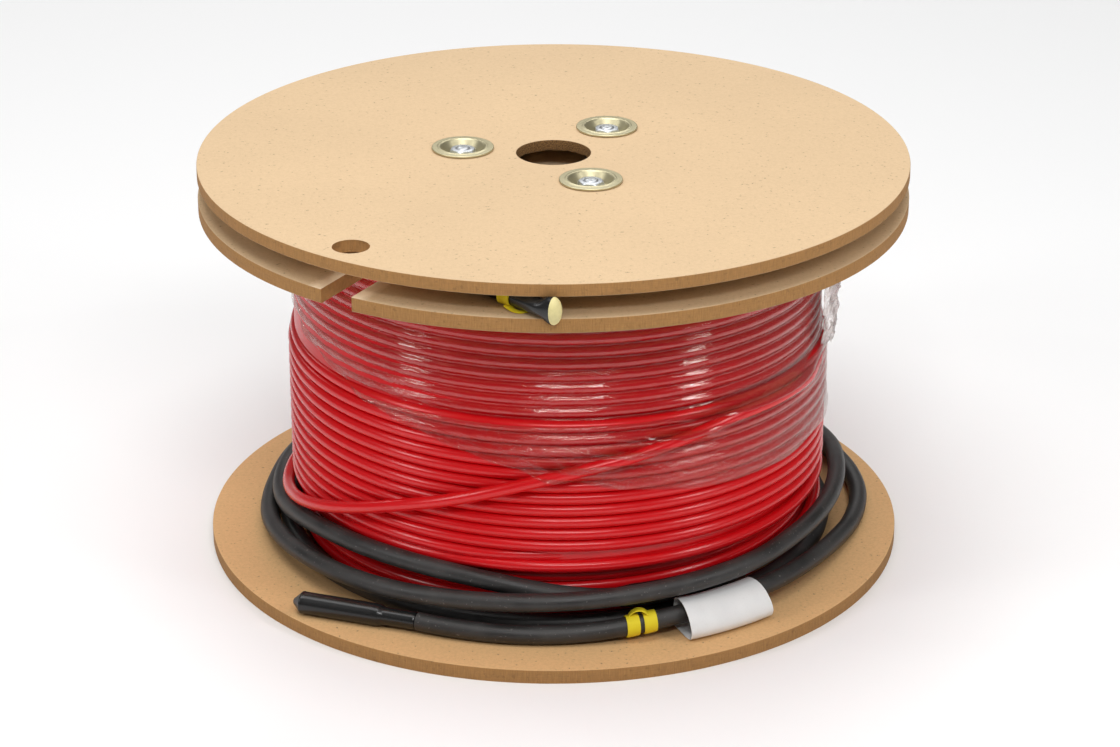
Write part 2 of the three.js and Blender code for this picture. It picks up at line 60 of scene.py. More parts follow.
def reach(node):
    """Lowest and highest corner of a CAD node at rest, in millimetres."""
    low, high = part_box(node)
    return np.array(low) / MM, np.array(high) / MM


FLANGE_RADIUS = reach("bottom_flange")[1][0]
LOWER_BOARD = reach("bottom_flange")[0][2], reach("bottom_flange")[1][2]
MIDDLE_BOARD = reach("winding_flange")[0][2], reach("winding_flange")[1][2]
UPPER_BOARD = reach("top_flange")[0][2], reach("top_flange")[1][2]
WINDING_FOOT = reach("cable_winding")[0][2]
WINDING_TOP = reach("cable_winding")[1][2]
CREST = reach("cable_winding")[1][0]
GAP_MIDDLE = (MIDDLE_BOARD[1] + UPPER_BOARD[0]) / 2

# Holes and slot of the boards
BORE_RADIUS = 21.0
EDGE_HOLE = (-35.6, 181.0, 10.0)
SLOT = {"azimuth": -29.4, "width": 20.0, "offset": 17.0, "inner_end": 85.0}
BOLT_CIRCLE = 51.5
BOLT_AZIMUTHS = (-96.4, 143.6, 23.6)

# Dished washers, nuts and bolts
WASHER_RADIUS = 17.6
WASHER_SHEET = 1.2
DISH_RADIUS = 13.3
DISH_FLOOR = 9.2
DISH_DEPTH = 5.8
BOLT_RADIUS = 4.0
ACROSS_FLATS = 13.0
NUT_HEIGHT = 4.4
HEAD_HEIGHT = 5.3
CLEARANCE = 0.3

# Winding
LAYERS = 12
FOOT_ROWS = 5
LOWEST_ROW_HEIGHT = 45.8
LAYER_END = 128.0
LAYER_STEP = 4.0
TOP_ROW_DROP = 3.7
END_DIVE = 5.9

# Film: height of its lower edge on the axis, and the edge's rise to the right and to the back
FILM_EDGE_HEIGHT = 122.0
FILM_RISE = (-0.218, 0.142)

# Lead
JOINT_END = 13.0
JOINT_START = 42.0
CAP_TIP = (-47.9, 40.8, 6.6)
TIE_AZIMUTHS = (14.5, 17.8)
TIE_LAP = 1080
LABEL_AZIMUTH = 32.2
LABEL_LENGTH = 50.0

# The last turn of heating cable: azimuth, distance beyond the winding's crest, height above the lower board
LAST_TURN_ROUTE = [
    (78, -3.6, 111.9), (70, -1.5, 113.6), (62, 2.2, 115.6), (50, 4.4, 116.8), (37.5, 4.4, 116),
    (26.8, 4.4, 111.4), (16, 4.4, 105), (5.4, 4.4, 98.6), (-5.4, 4.4, 90.5), (-21.4, 4.4, 76),
    (-32, 4.4, 66.7), (-43, 4.4, 56.3), (-53.6, 4.2, 46.6), (-64, 3.1, 38.4), (-75, 1.3, 30.8),
    (-85, 0.4, 25.8), (-95, -0.5, 24), (-110, -1.9, 22.6), (-130, -2.1, 23), (-150, -2.1, 23.4),
    (-170, -2.1, 23.4), (-190, -2.1, 23.2), (-210, -2.1, 23), (-230, -2.1, 22.8), (-250, -2.1, 22),
    (-270, -2.1, 20.4), (-290, -1.9, 18.9), (-305, -0.7, 18.8), (-318, 1.1, 19.3),
]

# The lead from its joint to its cap: degrees travelled, distance beyond the winding's crest,
# height above the lower board
LEAD_ROUTE = [
    (0, 1.1, 19.3), (5, 1.3, 20.4), (13, 1.9, 23.9), (23, 2.5, 28.9), (34, 2.9, 32.4), (46, 3.1, 33.8),
    (59, 2.9, 33), (69, 2.5, 30.8), (80, 2.3, 25.6), (89, 2.7, 20.2), (98, 4.4, 16.6), (107, 6.1, 15.2),
    (123, 8.3, 14.8), (138, 10.7, 10.2), (151, 12.1, 5.8), (165, 12.3, 5.5), (189, 11.8, 5.5),
    (203, 10.1, 5.5), (223, 6.7, 5.5), (243, 3.9, 5.5), (263, 2.3, 5.5), (283, 1.9, 5.5), (303, 1.5, 5.5),
    (323, 0.9, 5.5), (343, 0.7, 5.5), (373, 0.7, 5.5), (403, 0.5, 5.5), (433, 0.4, 5.5), (463, 0.3, 5.5),
    (483, 0.3, 5.5), (498, 0.4, 5.7), (511, 1.1, 8.8), (523, 4.3, 14.6), (536, 9.5, 17.3),
    (549, 14.9, 16.8), (563, 18.4, 15.8), (583, 20, 15.8), (603, 20.5, 16.4), (618, 19.9, 18.2),
    (629, 16.5, 21.6), (636, 13.3, 24.8), (643, 11.1, 27.3), (653, 9.9, 29), (663, 9.9, 30),
    (673, 10.5, 30.2), (681, 11.3, 30), (691, 13.1, 29), (703, 13.9, 28), (715, 13.9, 26.8),
    (725, 13.5, 25.4), (733, 13.3, 24.3), (743, 13.5, 23.2), (753, 13.5, 21.8), (763, 13.5, 20),
    (774, 13.5, 18.4), (789, 13.5, 16.4), (803, 12.9, 12.8), (813, 12.4, 9), (823, 12.2, 6.3),
    (833, 13.1, 5.5), (843, 16.1, 5.5), (858, 21.1, 5.5), (871, 23.8, 5.5), (888, 24.8, 5.5),
    (909, 24.9, 5.5), (923, 25.4, 5.5), (943, 26.2, 5.5), (963, 27.1, 5.5), (978, 27.5, 5.5),
    (990, 27.2, 5.5), (998.5, 25.9, 5.5), (1006, 23.2, 5.5), (1014, 19.7, 6), (1023, 16.9, 8.6),
    (1033, 16.1, 11.3), (1048, 16.2, 12.6), (1063, 16, 12), (1073, 15.7, 10.2), (1084, 15.3, 7.2),
    (1093, 15.5, 5.8), (1103, 16.2, 5.6), (1112, 16.8, 6), (1118.4, 17.8, 6.5),
]

# The inner end of the cable in the gap under the upper board: x, y, height from the gap's middle
TAIL_ROUTE = [
    (-63.9, -78.8, -10.2), (-72.2, -93.5, -8.4), (-80, -107.2, -4), (-84.8, -117.4, -1), (-86.8, -128, 0),
    (-84, -138.6, 0), (-76, -146.6, 0), (-64, -151.6, 0), (-50, -157.6, 0),
]
SLEEVE_ROUTE = [(-49.1, -158.1, 0), (-37, -167.5, 0), (-22, -182.9, 0), (-7.4, -197.8, 0)]
FLARE_START = (-6.7, -198.4, 0)
FLARE_AZIMUTH = 52.0
TAPE_PLACE = (-22.3, -182.6, 0.0)
TAPE_TURN = 45.5
TONGUE_ROUTE = [(-24.0, -187.0, -3.6), (-20.8, -190.2, -4.9), (-17.2, -191.8, -5.5), (-14.0, -191.3, -5.3),
                (-11.4, -189.9, -5.1)]


# Sizes and colours that a user would change
def length(name, description, default):
    return bpy.props.FloatProperty(
        name=name, description=description, default=default, min=0.0, unit="LENGTH"
    )


def colour(name, description, default):
    return bpy.props.FloatVectorProperty(
        name=name, description=description, default=default, size=3, min=0.0, max=1.0, subtype="COLOR"
    )


class CableReelBoards(bpy.types.PropertyGroup):
    edge_rounding: length("Edge rounding", "Radius that wear leaves on the boards' edges", 0.0005)
    upper_colour: colour("Upper boards", "Colour of the light boards' faces", (0.69, 0.495, 0.295))
    lower_colour: colour("Lower board", "Colour of the lower board's face", (0.72, 0.44, 0.20))
    edge_colour: colour("Sawn edge", "Colour of the boards' sawn edges", (0.40, 0.20, 0.062))


class CableReelWinding(bpy.types.PropertyGroup):
    diameter: length("Cable diameter", "Diameter of the heating cable", 0.007)
    pitch: length("Row pitch", "Distance between neighbouring rows of the winding", 0.00704)
    shift: length("Shift to the right", "How far off the reel's axis the outer rows lie", 0.0022)
    sheath_colour: colour("Sheath", "Colour of the heating cable's sheath", (0.54, 0.0003, 0.0006))


class CableReelLead(bpy.types.PropertyGroup):
    diameter: length("Lead diameter", "Diameter of the black cold lead", 0.0104)
    sheath_colour: colour("Sheath", "Colour of the lead's sheath", (0.028, 0.026, 0.025))
    tie_colour: colour("Tie", "Colour of the plastic tie and tape", (0.80, 0.60, 0.004))


class CableReelFilm(bpy.types.PropertyGroup):
    sag: length("Sag between rows", "How far the film sinks between two rows", 0.0019)
    crease: length("Crease height", "Height of the creases near the film's lower edge", 0.0009)
    tint: colour("Tint", "Colour of what the film scatters", (0.88, 0.80, 0.76))


class CableReelStudio(bpy.types.PropertyGroup):
    softbox_power: bpy.props.FloatProperty(
        name="Softbox power", description="Power of the overhead softbox", default=46.0, min=0.0, unit="POWER"
    )
    floor_colour: colour("Floor", "Colour of the floor", (0.93, 0.93, 0.93))


# Shapes
def turn_to_radians(azimuth):
    return np.radians(np.asarray(azimuth, float))


def around(azimuth, radius, height):
    """Points at an azimuth in degrees, a distance from the axis and a height."""
    angle = turn_to_radians(azimuth)
    azimuth, radius, height = np.broadcast_arrays(angle, radius, height)
    return np.stack([radius * np.sin(azimuth), -radius * np.cos(azimuth), height], axis=-1)


def wander(angle, seed, waves, falloff=1.0):
    """A smooth random curve that closes on itself: a sum of sine waves of one to so many periods in a full
    turn, each with a random phase and a height that falls with its number."""
    random = np.random.default_rng(seed)
    number = np.arange(1, waves + 1)
    height = number ** -falloff * random.uniform(0.5, 1.0, waves)
    phase = random.uniform(0, 2 * np.pi, waves)
    curve = np.sin(np.asarray(angle)[..., None] * number + phase) @ height
    return curve / height.sum()


def smooth_step(value, start, end):
    share = np.clip((value - start) / (end - start), 0, 1)
    return share * share * (3 - 2 * share)


def wound(places, travelled):
    """Columns of a route at the given travel: cubics between neighbouring places, whose slope at a place
    is that of the line between its two neighbours."""
    table = np.array(places, float)
    way, values = table[:, 0], table[:, 1:]
    last = len(way) - 1
    index = np.arange(last + 1)
    before, after = np.maximum(index - 1, 0), np.minimum(index + 1, last)
    slope = (values[after] - values[before]) / (way[after] - way[before])[:, None]
    left = np.clip(np.searchsorted(way, travelled, side="right") - 1, 0, last - 1)
    span = (way[left + 1] - way[left])[:, None]
    share = (np.asarray(travelled, float)[:, None] - way[left][:, None]) / span
    square, cube = share ** 2, share ** 3
    return (
        (2 * cube - 3 * square + 1) * values[left] + (cube - 2 * square + share) * span * slope[left]
        + (3 * square - 2 * cube) * values[left + 1] + (cube - square) * span * slope[left + 1]
    )


def through(points, count):
    """Points at even shares of the travel along a smooth curve through the given points."""
    table = np.array(points, float)
    way = np.concatenate([[0], np.cumsum(np.linalg.norm(np.diff(table, axis=0), axis=1))])
    places = np.column_stack([way, table])
    return wound(places, np.linspace(0, way[-1], count))


def carried(path, section):
    """A section carried along a path: each of its points (side, over) is laid off square to the path,
    side level and pointing away from the reel's axis on a clockwise path, over pointing up."""
    section = np.broadcast_to(section, (len(path), *np.shape(section)[-2:]))
    along = np.gradient(path, axis=0)
    along /= np.linalg.norm(along, axis=1, keepdims=True)
    side = np.cross(along, [0.0, 0.0, 1.0])
    side /= np.linalg.norm(side, axis=1, keepdims=True)
    over = np.cross(side, along)
    return path[:, None] + section[..., :1] * side[:, None] + section[..., 1:] * over[:, None]


def ring(radius, sides, width=1.0):
    """A circle of so many points, for one radius or for one at each place of a path, widened by a
    factor."""
    angle = full_turn(sides)
    radius = np.asarray(radius, float)[..., None, None]
    return radius * np.stack([np.cos(angle) * width, np.sin(angle)], axis=-1)


def rounded(profile, corner, steps=4):
    """A closed outline whose corners are cut by arcs: each corner becomes points on the parabola between
    the places that lie the corner size before and after it."""
    points = np.array(profile, float)
    before = np.roll(points, 1, axis=0) - points
    after = np.roll(points, -1, axis=0) - points
    reach_before = np.linalg.norm(before, axis=1, keepdims=True)
    reach_after = np.linalg.norm(after, axis=1, keepdims=True)
    start = points + before / reach_before * np.minimum(corner, 0.45 * reach_before)
    end = points + after / reach_after * np.minimum(corner, 0.45 * reach_after)
    share = np.linspace(0, 1, steps)[None, :, None]
    near, middle, far = (1 - share) ** 2, 2 * share * (1 - share), share ** 2
    return (near * start[:, None] + middle * points[:, None] + far * end[:, None]).reshape(-1, 2)


def full_turn(count):
    """So many even angles round a full turn, in radians."""
    return np.linspace(0, 2 * np.pi, count, endpoint=False)


class Shape:
    """Collects grids of points in millimetres, and the faces between neighbouring rows and columns."""

    def __init__(self):
        self.points = []
        self.faces = []
        self.count = 0

    def grid(self, points, closed_rows=False, closed_columns=True, ends=False, centre=None):
        """Adds a grid of rows and columns. Its faces point away from the centre, or outwards by its
        volume."""
        rows, columns = points.shape[:2]
        row = np.arange(rows if closed_rows else rows - 1)[:, None]
        column = np.arange(columns if closed_columns else columns - 1)[None, :]
        next_row, next_column = (row + 1) % rows, (column + 1) % columns
        corners = [row * columns + column, row * columns + next_column,
                   next_row * columns + next_column, next_row * columns + column]
        quads = np.stack(np.broadcast_arrays(*corners), axis=-1).reshape(-1, 4)
        flat = points.reshape(-1, 3)
        caps = []
        if ends:
            caps = [np.arange(columns)[::-1], np.arange(columns) + (rows - 1) * columns]
        if self.inside_out(flat, quads, caps, centre):
            quads, caps = quads[:, ::-1], [cap[::-1] for cap in caps]
        self.faces += (quads + self.count).tolist() + [(cap + self.count).tolist() for cap in caps]
        self.points.append(flat)
        self.count += len(flat)
        return self

    @staticmethod
    def inside_out(points, quads, caps, centre):
        """True where the faces' summed volume, or their mean slant from the centre, is negative."""
        a, b, c, d = (points[quads[:, corner]] for corner in range(4))
        if centre is not None:
            normal = np.cross(c - a, d - b)
            return np.sum(normal * ((a + c) / 2 - np.array(centre, float))) < 0
        volume = np.sum(np.cross(a, b) * c) + np.sum(np.cross(a, c) * d)
        for cap in caps:
            hub = points[cap].mean(axis=0)
            volume += np.sum(np.cross(points[cap], points[np.roll(cap, -1)]) * hub)
        return volume < 0

    def mesh(self, name, sharp=35.0):
        """A mesh in metres, smooth but for edges past the sharp angle."""
        mesh = bpy.data.meshes.new(name)
        mesh.from_pydata((np.concatenate(self.points) * MM).tolist(), [], self.faces)
        mesh.polygons.foreach_set("use_smooth", [True] * len(mesh.polygons))
        mesh.set_sharp_from_angle(angle=math.radians(sharp))
        mesh.update()
        return mesh

    def piece(self, name, material, slot, replaces=(), sharp=35.0):
        return place(name, self.mesh(name, sharp), material, slot, replaces)


def swept(path, section):
    """A closed shape swept along a path by carrying its section."""
    return Shape().grid(carried(path, section), ends=True)


def place(name, mesh, material, slot, replaces=()):
    """Makes a piece of the object from its mesh, hangs it on the root body, and hides the CAD parts it stands for."""
    mesh.materials.clear()
    mesh.materials.append(material)
    piece = bpy.data.objects.new(name, mesh)
    bpy.context.scene.collection.objects.link(piece)
    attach(piece, "root")
    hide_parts(*replaces)
    return piece


def turned(profile, columns=96, centre=(0, 0)):
    """A profile of (radius, height) points turned about the upright line through the centre."""
    profile = np.array(profile, float)
    azimuth = np.linspace(0, 360, columns, endpoint=False)
    points = around(azimuth[None, :], profile[:, :1], profile[:, 1:])
    return points + np.array([*centre, 0.0])


def evaluated(piece):
    """Puts what the live modifiers make into the piece's own mesh."""
    graph = bpy.context.evaluated_depsgraph_get()
    mesh = bpy.data.meshes.new_from_object(piece.evaluated_get(graph))
    piece.modifiers.clear()
    piece.data = mesh
    return piece


# Materials
class Finish:
    """A procedural material: its Principled shader, and short ways to add nodes on Object coordinates."""

    def __init__(self, name, base, roughness, **constants):
        self.material = bpy.data.materials.new(name)
        self.material.use_nodes = True
        self.tree = self.material.node_tree
        self.shader = self.tree.nodes["Principled BSDF"]
        self.shader.inputs["Base Color"].default_value = (*base, 1.0)
        self.shader.inputs["Roughness"].default_value = roughness
        for socket, value in constants.items():
            self.shader.inputs[socket.replace("_", " ")].default_value = value
        self.object = self.node("ShaderNodeTexCoord").outputs["Object"]

    def node(self, kind, inputs=None, **settings):
        node = self.tree.nodes.new(kind)
        for setting, value in settings.items():
            setattr(node, setting, value)
        for socket, value in (inputs or {}).items():
            if isinstance(value, bpy.types.NodeSocket):
                self.tree.links.new(value, node.inputs[socket])
            else:
                node.inputs[socket].default_value = value
        return node

    def link(self, output, socket):
        self.tree.links.new(output, self.shader.inputs[socket])
        return self

    def math(self, operation, first, second=0.0):
        return self.node("ShaderNodeMath", {0: first, 1: second}, operation=operation).outputs[0]

    def plus(self, first, second):
        return self.math("ADD", first, second)

    def times(self, first, second):
        return self.math("MULTIPLY", first, second)

    def noise(self, scale, detail=3.0, vector=None, roughness=0.5):
        settings = {"Vector": vector or self.object, "Scale": scale, "Detail": detail, "Roughness": roughness}
        return self.node("ShaderNodeTexNoise", settings).outputs["Fac"]

    def span(self, value, low, high, to_low=0.0, to_high=1.0):
        """The value's range from low to high stretched to another, and held there beyond it."""
        settings = {"Value": value, "From Min": low, "From Max": high, "To Min": to_low, "To Max": to_high}
        return self.node("ShaderNodeMapRange", settings).outputs["Result"]

    def blend(self, share, first, second):
        """A colour mixed from two by a share."""
        inputs = {"Factor": share}
        node = self.node("ShaderNodeMix", inputs, data_type="RGBA", clamp_factor=True)
        for socket, value in ((node.inputs[6], first), (node.inputs[7], second)):
            if isinstance(value, bpy.types.NodeSocket):
                self.tree.links.new(value, socket)
            else:
                socket.default_value = (*value, 1.0) if len(value) == 3 else value
        return node.outputs[2]

    def bump(self, height, distance, strength=1.0):
        node = self.node("ShaderNodeBump", {"Height": height, "Distance": distance, "Strength": strength})
        return self.link(node.outputs["Normal"], "Normal")

    def wrapped(self):
        """The place on an upright cylinder: length round the axis at the flange's rim, distance from the
        axis and height, in metres."""
        parts = self.node("ShaderNodeSeparateXYZ", {0: self.object}).outputs
        angle = self.math("ARCTAN2", parts[0], self.times(parts[1], -1.0))
        square = self.times(parts[0], parts[0])
        distance = self.math("SQRT", self.plus(square, self.times(parts[1], parts[1])))
        return self.times(angle, FLANGE_RADIUS * MM), distance, parts[2]

    def vector(self, x, y, z):
        return self.node("ShaderNodeCombineXYZ", {0: x, 1: y, 2: z}).outputs[0]


def shade(base, factor):
    return tuple(min(channel * factor, 1.0) for channel in base)


def board_finish(name, face, edge, speck, grain, slotted=False):
    """Fibreboard: a faint mottle with fine fibres and dark specks on its faces, and brown sawn edges with
    fine upright saw marks and pressed layers, which show most in the spindle bore. Where it is slotted, a band
    of painted light lies along both sides of the slot, set by the distance from the slot's middle line."""
    finish = Finish(name, face, 0.82)
    run, distance, height = finish.wrapped()
    fibres = finish.noise(520.0, 5.0, roughness=0.7)
    drawn = finish.node("ShaderNodeMapping", {"Vector": finish.object, "Scale": (1.0, 0.35, 1.0)}).outputs[0]
    threads = finish.noise(1400.0, 2.0, vector=drawn)
    toned = finish.blend(finish.span(finish.noise(14.0, 3.0), 0.3, 0.7), shade(face, 0.975), shade(face, 1.02))
    toned = finish.blend(finish.span(fibres, 0.42, 0.72, 0.0, grain), toned, shade(face, 0.74))
    toned = finish.blend(finish.span(threads, 0.56, 0.75, 0.0, 0.3), toned, shade(face, 1.16))
    specks = finish.span(finish.noise(520.0, 1.0), 0.72, 0.78, 0.0, speck)
    toned = finish.blend(specks, toned, shade(face, 0.3))
    # Painted light: the pale share below is a painted band of light along both sides of the slot.
    if slotted:
        angle = math.radians(SLOT["azimuth"])
        across = finish.node("ShaderNodeVectorMath", {
            0: finish.object, 1: (math.cos(angle), math.sin(angle), 0.0)}, operation="DOT_PRODUCT").outputs["Value"]
        near = finish.math("ABSOLUTE", finish.plus(across, SLOT["offset"] * MM))
        pale = finish.span(finish.plus(near, finish.times(fibres, 0.004)), 0.017, 0.0215, 0.75, 0.0)
        toned = finish.blend(pale, toned, (0.86, 0.68, 0.47))
    saw_marks = finish.noise(1.0, 4.0, vector=finish.vector(
        finish.times(run, 1500.0), 0.0, finish.times(height, 130.0)), roughness=0.7)
    layers = finish.noise(1.0, 3.0, vector=finish.vector(
        finish.times(run, 120.0), 0.0, finish.times(height, 1900.0)), roughness=0.6)
    sawn = finish.blend(finish.span(saw_marks, 0.3, 0.7), shade(edge, 0.80), shade(edge, 1.22))
    sawn = finish.blend(finish.span(layers, 0.4, 0.75, 0.0, 0.4), sawn, shade(edge, 0.62))
    sawn = finish.blend(finish.span(finish.noise(420.0, 3.0), 0.6, 0.72, 0.0, 0.5), sawn, shade(edge, 0.5))
    in_bore = finish.span(distance, 0.024, 0.027, 1.0, 0.0)
    torn = finish.blend(finish.span(layers, 0.38, 0.6), shade(edge, 1.05), shade(edge, 0.28))
    sawn = finish.blend(in_bore, sawn, torn)
    normal = finish.node("ShaderNodeNewGeometry").outputs["Normal"]
    upright = finish.node("ShaderNodeSeparateXYZ", {0: normal}).outputs[2]
    on_edge = finish.span(finish.math("ABSOLUTE", upright), 0.35, 0.8, 1.0, 0.0)
    finish.link(finish.blend(on_edge, toned, sawn), "Base Color")
    cut = finish.plus(saw_marks, finish.times(layers, finish.plus(in_bore, 0.4)))
    relief = finish.plus(finish.times(fibres, 0.6), finish.times(cut, on_edge))
    finish.bump(relief, 0.0004, 0.6)
    finish.link(finish.span(fibres, 0.3, 0.7, 0.76, 0.9), "Roughness")
    return finish.material


def card_finish():
    finish = Finish("card", (0.26, 0.17, 0.09), 0.85)
    fibres = finish.noise(300.0, 4.0)
    finish.link(finish.blend(fibres, (0.18, 0.11, 0.06), (0.34, 0.23, 0.13)), "Base Color")
    finish.bump(fibres, 0.0002, 0.5)
    return finish.material


def yellow_zinc_finish():
    """Yellow chromate on zinc: bands of green, straw, pink and blue that drift over the plate, in a grain
    of fine dull spots."""
    finish = Finish("yellow_zinc", (0.62, 0.58, 0.36), 0.3, Metallic=1.0)
    ramp = finish.node("ShaderNodeValToRGB", {"Fac": finish.noise(75.0, 2.0)})
    tones = ((0.32, (0.40, 0.52, 0.50)), (0.43, (0.36, 0.42, 0.13)), (0.5, (0.62, 0.50, 0.20)),
             (0.57, (0.50, 0.27, 0.24)), (0.68, (0.50, 0.62, 0.60)))
    for index, (position, tone) in enumerate(tones):
        stop = ramp.color_ramp.elements[index] if index < 2 else ramp.color_ramp.elements.new(position)
        stop.position, stop.color = position, (*tone, 1.0)
    grain = finish.noise(1800.0, 3.0)
    toned = finish.blend(finish.span(grain, 0.4, 0.75, 0.0, 0.45), ramp.outputs["Color"], (0.20, 0.16, 0.08))
    finish.link(toned, "Base Color")
    finish.link(finish.span(grain, 0.3, 0.7, 0.24, 0.42), "Roughness")
    finish.bump(grain, 0.00006, 0.5)
    return finish.material


def bright_zinc_finish():
    """Bright zinc with darker, rougher spots where it is worn."""
    finish = Finish("bright_zinc", (0.62, 0.65, 0.68), 0.3, Metallic=1.0)
    worn = finish.noise(700.0, 4.0)
    toned = finish.blend(finish.span(worn, 0.45, 0.7, 0.0, 0.8), (0.66, 0.70, 0.74), (0.26, 0.24, 0.22))
    finish.link(toned, "Base Color")
    finish.link(finish.span(worn, 0.4, 0.7, 0.24, 0.6), "Roughness")
    finish.bump(worn, 0.0002, 0.5)
    return finish.material


def sheath_finish(name, base, roughness):
    """Smooth extruded sheath: faint clouding of its colour and gloss, and a very shallow orange peel."""
    finish = Finish(name, base, roughness, Specular_IOR_Level=0.16)
    clouds = finish.noise(38.0, 2.0)
    peel = finish.noise(900.0, 2.0)
    finish.link(finish.blend(finish.span(clouds, 0.3, 0.7), shade(base, 0.9), shade(base, 1.1)), "Base Color")
    finish.link(finish.span(clouds, 0.3, 0.7, roughness - 0.04, roughness + 0.05), "Roughness")
    finish.bump(peel, 0.00006, 0.35)
    return finish.material


def lead_finish(base):
    """Matt rubber sheath with a fine grain, faint rubbed streaks and pale dust specks."""
    finish = Finish("black_lead", base, 0.46)
    clouds = finish.noise(60.0, 3.0)
    dust = finish.span(finish.noise(650.0, 1.0), 0.70, 0.76, 0.0, 0.5)
    toned = finish.blend(finish.span(clouds, 0.35, 0.7), shade(base, 0.75), shade(base, 1.5))
    finish.link(finish.blend(dust, toned, (0.20, 0.18, 0.17)), "Base Color")
    grain = finish.noise(1600.0, 3.0)
    finish.link(finish.span(clouds, 0.3, 0.7, 0.40, 0.54), "Roughness")
    finish.bump(grain, 0.00012, 0.5)
    return finish.material


def shrink_finish():
    """Glossy heat-shrink with a soft waviness and a few scuffs."""
    finish = Finish("black_shrink", (0.008, 0.008, 0.009), 0.16)
    waves = finish.noise(140.0, 2.0)
    scuffs = finish.span(finish.noise(800.0, 3.0), 0.62, 0.75)
    finish.link(finish.blend(scuffs, (0.007, 0.007, 0.008), (0.03, 0.03, 0.032)), "Base Color")
    finish.link(finish.span(waves, 0.3, 0.7, 0.12, 0.24), "Roughness")
    finish.bump(waves, 0.0008, 0.6)
    return finish.material


def plastic_finish(name, base, roughness):
    finish = Finish(name, base, roughness, Specular_IOR_Level=0.45)
    clouds = finish.noise(160.0, 3.0)
    finish.link(finish.blend(finish.span(clouds, 0.3, 0.7), shade(base, 0.85), shade(base, 1.08)), "Base Color")
    finish.bump(finish.noise(500.0, 2.0), 0.0002, 0.4)
    return finish.material


def paper_finish():
    """White label paper with a faint fibre and a soft random clouding of its tone."""
    finish = Finish("label_paper", (0.80, 0.80, 0.79), 0.55)
    fibres = finish.noise(900.0, 4.0)
    clouds = finish.noise(45.0, 2.0)
    toned = finish.blend(finish.span(clouds, 0.3, 0.7), (0.76, 0.76, 0.76), (0.84, 0.84, 0.83))
    finish.link(finish.blend(finish.span(fibres, 0.5, 0.8, 0.0, 0.2), toned, (0.66, 0.66, 0.65)), "Base Color")
    finish.bump(fibres, 0.00006, 0.4)
    return finish.material


def film_finish(tint):
    """Clear film: what lies behind shows through, a little darker, and gloss is laid over it by the slant
    of the surface. Its fine creases run level above and along the slanting lower edge near it. It is milky
    where it is bunched, and a painted milky sheen is laid towards its left and right sides."""
    finish = Finish("stretch_film", tint, 0.07)
    run, _, height = finish.wrapped()
    parts = finish.node("ShaderNodeSeparateXYZ", {0: finish.object}).outputs
    slant = finish.plus(finish.times(parts[0], -FILM_RISE[0]), finish.times(parts[1], -FILM_RISE[1]))
    above_edge = finish.math("SUBTRACT", finish.plus(height, slant), FILM_EDGE_HEIGHT * MM)
    level = finish.noise(1.0, 4.0, vector=finish.vector(
        finish.times(run, 26.0), 0.0, finish.times(height, 330.0)), roughness=0.6)
    slanting = finish.noise(1.0, 5.0, vector=finish.vector(
        finish.times(run, 34.0), 3.0, finish.times(above_edge, 520.0)), roughness=0.65)
    near_edge = finish.span(above_edge, 0.006, 0.034, 1.0, 0.0)
    creases = finish.plus(finish.times(level, 0.55), finish.times(slanting, near_edge))
    finish.bump(creases, 0.0016, 0.55)
    slanted = finish.math("POWER", finish.node("ShaderNodeLayerWeight", {"Blend": 0.5}).outputs["Facing"], 3.0)
    gloss = finish.plus(finish.times(slanted, 0.3), 0.03)
    # Painted sheen: sides is a milky veil painted towards the film's left and right sides, where it is seen at a
    # slant.
    sides = finish.span(finish.math("ABSOLUTE", parts[0]), 0.085, 0.15, 0.0, 0.07)
    bunched = finish.times(finish.span(slanting, 0.54, 0.68), near_edge)
    bunched_milk_and_painted_sheen = finish.plus(finish.times(sides, finish.span(creases, 0.3, 0.9, 0.5, 1.5)),
                       finish.times(bunched, 0.06))
    cover = finish.plus(gloss, bunched_milk_and_painted_sheen)
    finish.link(finish.math("DIVIDE", gloss, cover), "Metallic")
    clear = finish.node("ShaderNodeBsdfTransparent", {"Color": (0.93, 0.90, 0.90, 1.0)})
    share = finish.node("ShaderNodeClamp", {"Value": cover}).outputs[0]
    mix = finish.node("ShaderNodeMixShader", {0: share, 1: clear.outputs[0], 2: finish.shader.outputs[0]})
    output = finish.tree.nodes["Material Output"]
    finish.tree.links.new(mix.outputs[0], output.inputs["Surface"])
    return finish.material


def tuft_finish(tint):
    """The same film bunched into many layers: milky, with glossy folds."""
    finish = Finish("bunched_film", tint, 0.15, Specular_IOR_Level=0.8)
    folds = finish.noise(210.0, 4.0)
    finish.bump(folds, 0.002, 0.7)
    cover = finish.span(folds, 0.35, 0.68, 0.12, 0.75)
    clear = finish.node("ShaderNodeBsdfTransparent", {"Color": (0.97, 0.95, 0.95, 1.0)})
    mix = finish.node("ShaderNodeMixShader", {0: cover, 1: clear.outputs[0], 2: finish.shader.outputs[0]})
    finish.tree.links.new(mix.outputs[0], finish.tree.nodes["Material Output"].inputs["Surface"])
    return finish.material


def floor_finish(base):
    finish = Finish("studio_floor", base, 0.6)
    clouds = finish.noise(0.6, 2.0)
    finish.link(finish.blend(clouds, shade(base, 0.99), shade(base, 1.0)), "Base Color")
    return finish.material


def finish_named(name, make, *arguments):
    """The finish of that name, made once and shared by its pieces."""
    return bpy.data.materials.get(name) or make(*arguments)


def red_sheath():
    base = tuple(bpy.context.scene.cable_reel_winding.sheath_colour)
    return finish_named("red_sheath", sheath_finish, "red_sheath", base, 0.27)


def black_shrink():
    return finish_named("black_shrink", shrink_finish)


def yellow_plastic():
    base = tuple(bpy.context.scene.cable_reel_lead.tie_colour)
    return finish_named("yellow_plastic", plastic_finish, "yellow_plastic", base, 0.42)


